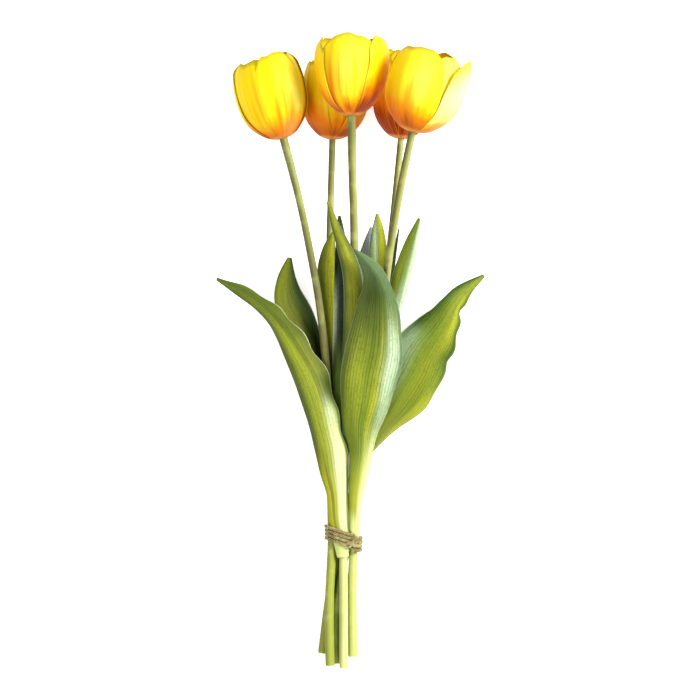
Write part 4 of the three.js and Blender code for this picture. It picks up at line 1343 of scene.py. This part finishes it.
# Many bands paint light and shade rather than the leaf's own colour: the pale bands are painted highlights
# and sheen on the sides and ridges turned to the light, and the darkest ones painted shade on the sides,
# hollows, tips and gaps turned from it.
LEAVES = (
    Leaf(1, "front_left", (
        (-5.6, -144.6, 16.8, 3.9, 55, 0), (-7.2, -131, 17.8, 5.4, 38, 0), (-9.3, -117, 19.2, 6, 36, 0),
        (-10.2, -101, 21.2, 6.6, 40, 0), (-12.4, -85, 24.2, 9.2, 44, 0), (-14.8, -68, 27.4, 10.6, 46, 0),
        (-18.8, -52, 29.2, 10.6, 46, -2), (-23.2, -35.4, 30.6, 11.6, 44, -4),
        (-29.4, -17.9, 30.8, 11.6, 42, -8), (-37.4, -2.5, 29.6, 10.4, 42, -12),
        (-45.5, 11.6, 27.6, 8.8, 42, -14), (-54.3, 23, 25.4, 6.6, 44, -14), (-65, 32.8, 22.4, 5.2, 46, -12),
        (-79, 41.6, 18.6, 3.9, 46, -10), (-93.6, 49.2, 14.4, 1.1, 40, -10),
    ), (1.1, 3.2, 0.4), LeafFinish(Green.OLIVE, (
        Band(Green.DEEP, -1, 0.34, 0.2, 1, 0.75), Band(Green.FRESH, -0.25, 0.3, 0.3, 0.8, 0.7),
        Band(Green.LIME, 0.1, 0.06, 0.16, 0.72, 0.4), Band(Green.PAINTED_SHEEN, 0.55, 0.3, 0.2, 0.4, 0.8),
        Band(Green.PAINTED_SHEEN, 0.5, 0.25, 0.43, 0.49, 0.7, 0.05),
        Band(Green.DEEP, 0.75, 0.35, 0.5, 0.56, 0.95, 0.05), Band(Green.DEEP, 0.8, 0.3, 0.64, 0.7, 0.7),
        Band(Green.SHADE, 0.7, 0.45, 0.76, 1, 0.6), Band(Green.YELLOW, -0.6, 0.6, 0, 0.3, 0.9),
        Band(Green.PALE, 0.6, 0.45, 0, 0.42, 0.9), Band(Green.PAINTED_HIGHLIGHT, 0.5, 0.35, 0, 0.38, 0.9),
        Band(Green.LEAF, 1.0, 0.12, 0, 0.45, 0.8), Band(Green.SHADE, -0.3, 0.1, 0.06, 0.3, 0.5),
        Band(Green.SHADE, 0.3, 0.5, 0.7, 1, 0.55), Band(Green.SHADE, 0, 1, 0.88, 1, 0.5),
    ), Green.PALE, base_height=0.05, veins=10, vein_depth=0.5, rim=0.8),
        (1.2, 8.5, 2.9), across=64, steps=190, crease=0.35),
    Leaf(2, "back_left", (
        (-20.2, -36, 17.4, 3.2, 70, -110), (-22, -20, 15.8, 4.2, 62, -125),
        (-25.6, -7, 14.4, 6.2, 50, -145), (-30.6, 6.7, 14, 9.6, 42, -160),
        (-37.4, 20.7, 13.5, 11.6, 40, -165), (-44.2, 35, 14.5, 11, 42, -165),
        (-45.4, 48.7, 16.6, 7.4, 44, -165), (-42.8, 64, 18, 1.5, 40, -165),
    ), (0.7, 2, 1.2), LeafFinish(Green.SHADE, (
        Band(Green.OLIVE, 0.3, 0.7, 0, 1, 0.95), Band(Green.DEEP, 1, 0.2, 0, 1, 0.5),
        Band(Green.PAINTED_SHADOW, -0.65, 0.4, 0, 0.5, 0.85), Band(Green.DEEP, -0.95, 0.3, 0, 1, 0.85),
    ), Green.DEEP)),
    Leaf(3, "mid_left", (
        (-12.4, -28, 14.6, 3.2, 74, 0), (-13, -8, 17, 4.1, 52, 0), (-14.2, 14, 19.2, 6.2, 42, 0),
        (-15.4, 35, 20.9, 7.2, 40, 0), (-16.6, 53, 22.8, 7, 40, 0), (-15.4, 69, 24.4, 4.6, 42, 0),
        (-12.2, 81.4, 25.8, 0.9, 40, 0),
    ), (0.5, 2, 0.2), LeafFinish(Green.OLIVE, (
        Band(Green.YELLOW, 0.3, 0.5, 0.24, 1, 0.95), Band(Green.LIME, 0.45, 0.14, 0.3, 0.9, 0.4),
        Band(Green.DEEP, 1, 0.16, 0, 1, 0.7), Band(Green.SHADE, -0.95, 0.25, 0, 1, 0.6),
    ), Green.DEEP, base_height=0.3)),
    Leaf(4, "centre", (
        (-3.4, -46, 27.1, 3.2, 72, 0), (-2, -20, 32.8, 4.6, 52, 0), (0, 6, 38.9, 5.7, 44, 0),
        (1.6, 32, 45.4, 6.4, 40, 0), (0.6, 52, 49.8, 6.3, 40, 0), (-4.4, 69, 52.2, 4.9, 44, 0),
        (-10.6, 85, 52.4, 2.9, 46, 0), (-16, 101.8, 50.6, 0.8, 40, 0),
    ), (0.5, 2.4, 2), LeafFinish(Green.OLIVE, (
        Band(Green.YELLOW, 0.1, 0.4, 0.3, 1, 0.4), Band(Green.DEEP, -1, 0.35, 0, 1, 0.8),
        Band(Green.SHADE, 1, 0.4, 0, 0.9, 0.8),
    ), Green.DEEP, base_height=0.35, vein_depth=0.6)),
    Leaf(5, "front", (
        (2, -134, 16, 3.7, 80, 0), (2.2, -119, 18, 3.9, 84, 0), (2.9, -105, 20.7, 4.5, 84, 0),
        (4.8, -88, 24.6, 6.4, 74, 0), (6.6, -71, 29.2, 8.2, 66, 0), (7, -53, 34.4, 13.2, 55, 0),
        (10.4, -35, 39.4, 18, 50, 2), (13, -18, 44.4, 19.9, 47, 3), (16.2, -2, 49.4, 20, 45, 4),
        (17.8, 14, 53.8, 17.2, 44, 5), (18.4, 29, 57.8, 13.8, 44, 5), (17.8, 42, 61.4, 10.2, 44, 2),
        (13.4, 55, 64.2, 6, 46, 0), (2.2, 68.6, 65.4, 0.9, 40, 0),
    ), (1, 2.6, 3.2), LeafFinish(Green.OLIVE, (
        Band(Green.FRESH, -0.3, 0.5, 0.2, 0.7, 0.8), Band(Green.LIME, -0.62, 0.12, 0.34, 0.6, 0.2),
        Band(Green.SHADE, -0.98, 0.16, 0.2, 1, 0.85), Band(Green.LEAF, -0.05, 0.12, 0.3, 0.66, 0.6),
        Band(Green.LIME, 0.3, 0.05, 0.3, 0.72, 0.3), Band(Green.PAINTED_SHEEN, 0.6, 0.2, 0.46, 0.72, 0.9),
        Band(Green.PAINTED_MINT_SHEEN, 0.8, 0.3, 0.3, 0.6, 0.6), Band(Green.TEAL, 1, 0.2, 0.5, 0.9, 0.9),
        Band(Green.SHADE, -0.2, 0.8, 0.62, 0.9, 0.6), Band(Green.DEEP, -0.2, 0.7, 0.74, 1, 0.9),
        Band(Green.TEAL, 0.7, 0.4, 0.76, 1, 0.7), Band(Green.TEAL, 0, 1, 0.92, 1, 0.7),
        Band(Green.YELLOW, 0.22, 0.14, 0.1, 0.5, 0.6), Band(Green.LEAF, -0.3, 0.7, 0.26, 0.4, 0.75),
        Band(Green.YELLOW, -0.2, 0.5, 0.08, 0.22, 0.8), Band(Green.PALE, 0.6, 0.5, 0, 0.32, 0.9),
        Band(Green.PAINTED_HIGHLIGHT, 0.75, 0.3, 0, 0.3, 0.85),
    ), Green.PALE, base_height=0.08, veins=20, vein_depth=0.9, rim=0.15),
        (0.6, 5.5, 1), across=80, steps=190),
    # This leaf lies in the dark gap behind the others: its near-black ground is painted shadow and its pale
    # stripe painted sheen.
    Leaf(6, "behind_centre", (
        (-8.3, -62, 14.6, 2.6, 56, 180), (-8, -36, 19, 3.9, 46, 180), (-7.6, -12, 23, 5, 42, 180),
        (-7.2, 12, 26.6, 5.2, 40, 180), (-6.6, 35, 29.6, 5.2, 40, 175), (-6.2, 57, 32.6, 4.9, 40, 170),
        (-6.6, 76, 35.2, 3.5, 42, 165), (-8, 92.6, 36.8, 0.9, 40, 165),
    ), (0.4, 2, 0.6), LeafFinish(Green.PAINTED_SHADOW, (
        Band(Green.SHADE, 0, 1, 0.82, 1, 0.9), Band(Green.BLUE, -0.7, 0.3, 0.7, 0.9, 0.6),
        Band(Green.PAINTED_SHEEN, 0.95, 0.4, 0.36, 0.62, 1.0), Band(Green.LEAF, 0, 1.2, 0, 0.34, 0.9),
    ), Green.LEAF, rim=0)),
    Leaf(7, "back_centre", (
        (10.6, -20, 14.6, 3, 66, -25), (8.8, 0, 16.8, 4, 48, -15), (7.2, 20, 18.6, 4.8, 42, -5),
        (7.6, 40, 21.2, 5.4, 40, 0), (8.6, 58, 22.4, 5, 40, 0), (11.2, 72, 23, 3.2, 42, 0),
        (14.2, 85, 23.4, 0.9, 40, 0),
    ), (0.4, 1.8, 0.9), LeafFinish(Green.BLUE, (
        Band(Green.FRESH, -0.95, 0.16, 0, 1, 0.8), Band(Green.SHADE, -0.7, 0.1, 0.5, 1, 0.6),
    ), Green.TEAL, vein_depth=0.2)),
    Leaf(8, "right_centre", (
        (16.6, 6, 16.4, 3, 70, 0), (18, 22, 21.8, 4.6, 46, 0), (18.8, 38, 26.6, 5.5, 36, 0),
        (19, 53, 29.8, 6, 32, 0), (18.9, 68, 31.8, 5.9, 32, 0), (18.7, 82, 33, 4.2, 34, 0),
        (18.2, 94, 33.6, 0.9, 34, 0),
    ), (0.5, 2, 2.4), LeafFinish(Green.OLIVE, (
        Band(Green.PAINTED_MINT_SHEEN, -0.45, 0.34, 0.3, 0.95, 0.9), Band(Green.YELLOW, 0.45, 0.35, 0.4, 1, 0.7),
        Band(Green.DEEP, -1, 0.1, 0, 1, 0.8),
    ), Green.TEAL, vein_depth=0.2, rim=0)),
    Leaf(9, "right_thin", (
        (17.2, -20, 11.6, 3, 64, 90), (20.4, -4, 15, 3.4, 50, 82), (23.6, 12, 18.4, 3.8, 44, 78),
        (26, 30, 21, 4.2, 38, 76), (29, 50, 25.8, 4.2, 36, 76), (31.2, 68, 30.4, 3.2, 36, 76),
        (33.2, 83.8, 34.6, 0.9, 36, 76),
    ), (0.4, 1.8, 0.3), LeafFinish(Green.DEEP, (
        Band(Green.PAINTED_SHADOW, 0, 0.6, 0.3, 1, 0.7),
    ), Green.PAINTED_SHADOW, rim=0.1)),
    Leaf(10, "upper_right", (
        (16.8, -30, 28.6, 3.2, 68, 115), (20.8, -12, 31, 4.4, 50, 95), (25, 6, 34.4, 5.6, 42, 60),
        (28.6, 24, 39.4, 6.4, 38, 30), (33, 41, 42.6, 6.4, 38, 15), (37.2, 57, 45.4, 6.2, 38, 10),
        (42, 74, 48, 4.4, 40, 8), (47, 90.4, 50.2, 0.9, 38, 8),
    ), (0.5, 2.2, 1.6), LeafFinish(Green.LEAF, (
        Band(Green.OLIVE, -0.4, 0.4, 0.5, 1, 0.6), Band(Green.PAINTED_SHEEN, 0.7, 0.36, 0.3, 0.95, 0.9),
        Band(Green.PAINTED_MINT_SHEEN, 0.2, 0.3, 0.25, 0.6, 0.6),
    ), Green.TEAL, vein_depth=0.25)),
    Leaf(11, "right", (
        (5.6, -86, 10.4, 3.7, 74, 50), (12.8, -68.3, 13.3, 7.3, 52, 34), (22.4, -50.5, 17.2, 14, 38, 24),
        (32.3, -35.1, 21.2, 20.2, 32, 18), (41.8, -19.4, 25, 22.4, 29, 15),
        (49.8, -3.1, 28.2, 20.9, 28, 14), (57.8, 8.6, 30.6, 17.4, 29, 14), (64.6, 19.4, 31.8, 12.8, 30, 14),
        (69.8, 29.6, 31.6, 8.8, 34, 14), (77.6, 39.4, 29, 6, 38, 12), (92.4, 51.4, 23.6, 1.1, 36, 10),
    ), (1.3, 3.4, 1), LeafFinish(Green.LEAF, (
        Band(Green.FRESH, 0.1, 0.4, 0.3, 1, 0.5), Band(Green.OLIVE, 0.3, 0.35, 0, 1, 0.8),
        Band(Green.LEAF, -0.1, 0.2, 0.3, 0.8, 0.7), Band(Green.LIME, 0.85, 0.2, 0, 0.4, 0.6),
        Band(Green.LIME, 0.5, 0.2, 0.6, 0.9, 0.45), Band(Green.DEEP, -0.95, 0.3, 0.45, 1, 0.9),
        Band(Green.PAINTED_MINT_SHEEN, -0.72, 0.36, 0.16, 0.55, 0.95), Band(Green.SHADE, 0.95, 0.16, 0.4, 0.9, 0.6),
        Band(Green.TEAL, -0.8, 0.3, 0, 0.25, 0.8),
    ), Green.OLIVE, veins=22, vein_depth=0.65, rim=0.3), (0.9, 7, 0.6), across=72, steps=150),
)

TIED_LEAVES = ("front_left", "front")

BLOOMS = (
    Bloom(1, (-47.3, 146.1, 42.2), (-0.24, 1, 0.04), 64, 23.3, Cup.ROUND, 1.01, -42,
        ("even", "broad", "slim"), (0.93, 0.92, 0.87, 0.89, 0.9, 0.9), (0.3, 0.5, 0.6, 0.18, 0.35, 0.5),
        PetalFinish((
            # Painted highlight on the front petal's side turned to the light.
            Patch(0, Gold.LEMON, 0.6, 0.4, 0.5, 0.32, 0.75),
            Patch(0, Gold.ORANGE, -0.33, 0.12, 0.3, 0.22, 0.8),
            Patch(0, Gold.ORANGE, 0.35, 0.14, 0.26, 0.22, 0.65),
            Patch(0, Gold.GOLD, 0.05, 0.1, 0.45, 0.35, 0.6), Patch(0, Gold.PINK, 0.4, 0.6, 0.1, 0.12, 0.8),
            # Below, the second gold patch is painted shade on petal 3 where the front petal's margin lies
            # over it.
            Patch(3, Gold.GOLD, -0.5, 0.5, 0.2, 0.2, 0.6), Patch(3, Gold.GOLD, 0.28, 0.1, 0.5, 0.4, 0.7),
            # Painted shade: an olive strip down the right petal's shaded edge.
            Patch(4, Gold.OLIVE, -0.8, 0.25, 0.8, 0.3, 0.35),
        )), width={2: 0.95}, lean={2: 1.5, 3: 2}, swing={2: -8}),
    Bloom(2, (-12.9, 146.6, 21.8), (0.05, 1, 0.02), 57, 21.6, Cup.ROUND, 1, 8, ("slim", "slim", "slim"),
        (0.93, 0.95, 0.95, 0.98, 1, 0.98), (0.62, 0.72, 0.66, 0.5, 0.62, 0.72),
        PetalFinish((
            Patch(2, Gold.OLIVE, -0.6, 0.5, 0.8, 0.3, 0.5), Patch(2, Gold.ORANGE, 0.3, 0.5, 0.3, 0.3, 0.7),
        )), lean={0: 3}, curl={2: 3}),
    Bloom(3, (0.3, 160.6, 68.4), (0, 1, 0.06), 56.4, 24.8, Cup.OPEN, 1, -4, ("slim", "broad", "even"),
        (0.97, 0.92, 0.95, 1, 0.95, 0.95), (0.85, 0.6, 0.6, 0.1, 0.6, 0.5),
        PetalFinish((
            # Painted highlight down the middle of the front petal.
            Patch(3, Gold.LEMON, 0, 0.45, 0.6, 0.35, 0.45),
            # Painted shadow where the outer petals' margins lie over the front petal, on both sides.
            Patch(3, Gold.ORANGE, -0.66, 0.12, 0.35, 0.3, 0.85),
            Patch(3, Gold.ORANGE, 0.42, 0.1, 0.2, 0.22, 0.75),
            # Painted shade in the pockets at the foot, where the outer petals close over the front petal,
            # deepening its own red foot.
            Patch(3, Gold.FLAME, -0.05, 0.2, 0.05, 0.07, 0.8),
            Patch(3, Gold.FLAME, -0.8, 0.14, 0.17, 0.16, 0.75),
            Patch(3, Gold.FLAME, 0.75, 0.12, 0.14, 0.12, 0.65),
            Patch(3, Gold.ORANGE, -0.3, 0.05, 0.42, 0.3, 0.6),
            Patch(3, Gold.ORANGE, -0.62, 0.05, 0.5, 0.34, 0.5),
            Patch(3, Gold.GOLD, -0.5, 0.2, 0.42, 0.4, 0.7), Patch(3, Gold.GOLD, 0.2, 0.08, 0.46, 0.34, 0.8),
            Patch(3, Gold.GOLD, 0.7, 0.2, 0.4, 0.4, 0.6), Patch(2, Gold.GOLD, 0.3, 0.5, 0.55, 0.4, 0.8),
            Patch(2, Gold.ORANGE, 0.1, 0.6, 0.28, 0.22, 0.7), Patch(0, Gold.GOLD, 0.1, 0.6, 0.6, 0.35, 0.9),
            Patch(0, Gold.ORANGE, 0.3, 0.4, 0.42, 0.36, 0.8),
            Patch(0, Gold.FLAME, 0.2, 0.5, 0.18, 0.16, 0.8),
        )), swing={0: 10, 2: -22}),
    Bloom(4, (34.7, 147, 21.1), (0.08, 1, 0.02), 62, 21.6, Cup.ROUND, 0.95, -4, ("slim", "slim", "slim"),
        (0.97, 0.97, 0.97, 1, 1, 1), (1, 1, 1, 0.95, 0.95, 1),
        PetalFinish((Patch(2, Gold.OLIVE, 0, 0.8, 0.95, 0.12, 0.9),))),
    Bloom(5, (41.8, 148.6, 85), (0.26, 1, 0.06), 62.6, 24.8, Cup.ROUND, 0.98, 35, ("broad", "broad", "broad"),
        (0.89, 0.9, 0.925, 0.885, 0.92, 0.88), (0.05, 0.5, 0.4, 0.2, 0.5, 0.6),
        PetalFinish((
            Patch(2, Gold.GOLD, -0.8, 0.3, 0.5, 0.4, 0.5),
            Patch(2, Gold.LEMON, 0.35, 0.35, 0.65, 0.3, 0.55),
            Patch(2, Gold.ORANGE, -0.12, 0.3, 0.2, 0.2, 0.9),
            Patch(2, Gold.ORANGE, -0.7, 0.4, 0.27, 0.28, 1.0),
            Patch(2, Gold.FLAME, -0.6, 0.3, 0.14, 0.16, 0.9),
            Patch(2, Gold.GOLD, 0.62, 0.12, 0.4, 0.4, 0.5), Patch(2, Gold.RED, 0, 0.3, 0.07, 0.08, 0.6),
            # The pale patch on the right petal is partly its own paler tone and partly a painted highlight on
            # its side turned to the light.
            Patch(0, Gold.PALE, -0.2, 1.2, 0.6, 0.45, 0.9), Patch(0, Gold.PINK, -0.3, 0.5, 0.12, 0.1, 0.7),
            # The lemon patch on petal 3 is painted light, lifting the shade in the strip between the front
            # and right petals.
            Patch(0, Gold.LIGHT, -0.2, 1.2, 1.0, 0.16, 0.9), Patch(3, Gold.LEMON, 0, 1.4, 0.7, 0.5, 0.9),
        )), width={0: 0.97, 2: 1.04}, lean={0: 6}, swing={0: -15, 3: 12}, curl={0: 2.2}),
)


@dataclass
class Studio:
    """The plain pale floor, the soft lights and the camera over the bunch."""

    camera_height: float = 3.0
    view_width: float = 0.49
    view_middle: Tuple[float, float] = (-0.0002, 0.00285)
    film_width: float = 36.0
    floor_size: float = 6.0
    floor_glow: float = 0.7
    floor_bounce: float = 0.1
    sky_strength: float = 0.4
    paper: Colour = (0.9, 0.9, 0.9)
    far_end: float = 20.0

    def floor(self) -> None:
        """Lays the floor just under the bunch."""
        half = self.floor_size / 2
        mesh = bpy.data.meshes.new("floor")
        corners = [(-half, -half, 0), (half, -half, 0), (half, half, 0), (-half, half, 0)]
        mesh.from_pydata(corners, [], [(0, 1, 2, 3)])
        coat = Coat("floor_paper", 0.9, Base_Color=(*self.paper, 1.0), Emission_Color=(*WHITE, 1.0))
        seen = coat.wire.add("ShaderNodeLightPath").outputs["Is Camera Ray"]
        glow = coat.wire.line(seen, self.floor_glow - self.floor_bounce, self.floor_bounce)
        coat.wire.feed(coat.shader.inputs["Emission Strength"], glow)
        mesh.materials.append(coat.material)
        stand("floor", mesh)

    def light(self, name: str, place: Point, size: float, power: float, colour: Colour) -> None:
        """Adds a square soft light that looks at the bunch.

        Args:
            name: The light's name.
            place: Where it is, in metres.
            size: Its side, in metres.
            power: Its power, in watts.
            colour: Its colour.
        """
        data = bpy.data.lights.new(name, "AREA")
        data.size = size
        data.energy = power
        data.color = colour
        light = stand(name, data)
        light.location = place
        aim = -np.array(place)
        tilt = math.acos(-aim[2] / np.linalg.norm(aim))
        light.rotation_euler = (tilt, 0, math.atan2(aim[1], aim[0]) - math.pi / 2)

    def build(self) -> None:
        """Sets up the floor, lights, surroundings and camera."""
        self.floor()
        self.light("key", (1.5, 0.7, 1.5), size=1.0, power=76.0, colour=(1.0, 0.99, 0.97))
        self.light("fill", (-1.2, -0.6, 1.8), size=1.6, power=26.0, colour=(0.99, 0.99, 1.0))
        world = bpy.data.worlds.new("studio")
        world.use_nodes = True
        sky = world.node_tree.nodes["Background"].inputs
        sky["Color"].default_value = (*WHITE, 1.0)
        sky["Strength"].default_value = self.sky_strength
        bpy.context.scene.world = world
        bpy.context.scene.view_settings.view_transform = "Standard"
        data = bpy.data.cameras.new("camera")
        data.sensor_width = self.film_width
        data.lens = self.film_width * self.camera_height / self.view_width
        data.clip_end = self.far_end
        camera = stand("camera", data)
        camera.location = (*self.view_middle, self.camera_height)
        bpy.context.scene.camera = camera


def main() -> None:
    """Builds every piece of the bunch and the studio round it."""
    logging.basicConfig(level=logging.INFO, format="%(name)s %(message)s")
    for piece in (*STEMS, *LEAVES, *BLOOMS, *map(Heart, BLOOMS)):
        piece.build()
    Tie(STEMS, [leaf for leaf in LEAVES if leaf.side in TIED_LEAVES]).build()
    Studio().build()


if __name__ == "__main__":
    main()
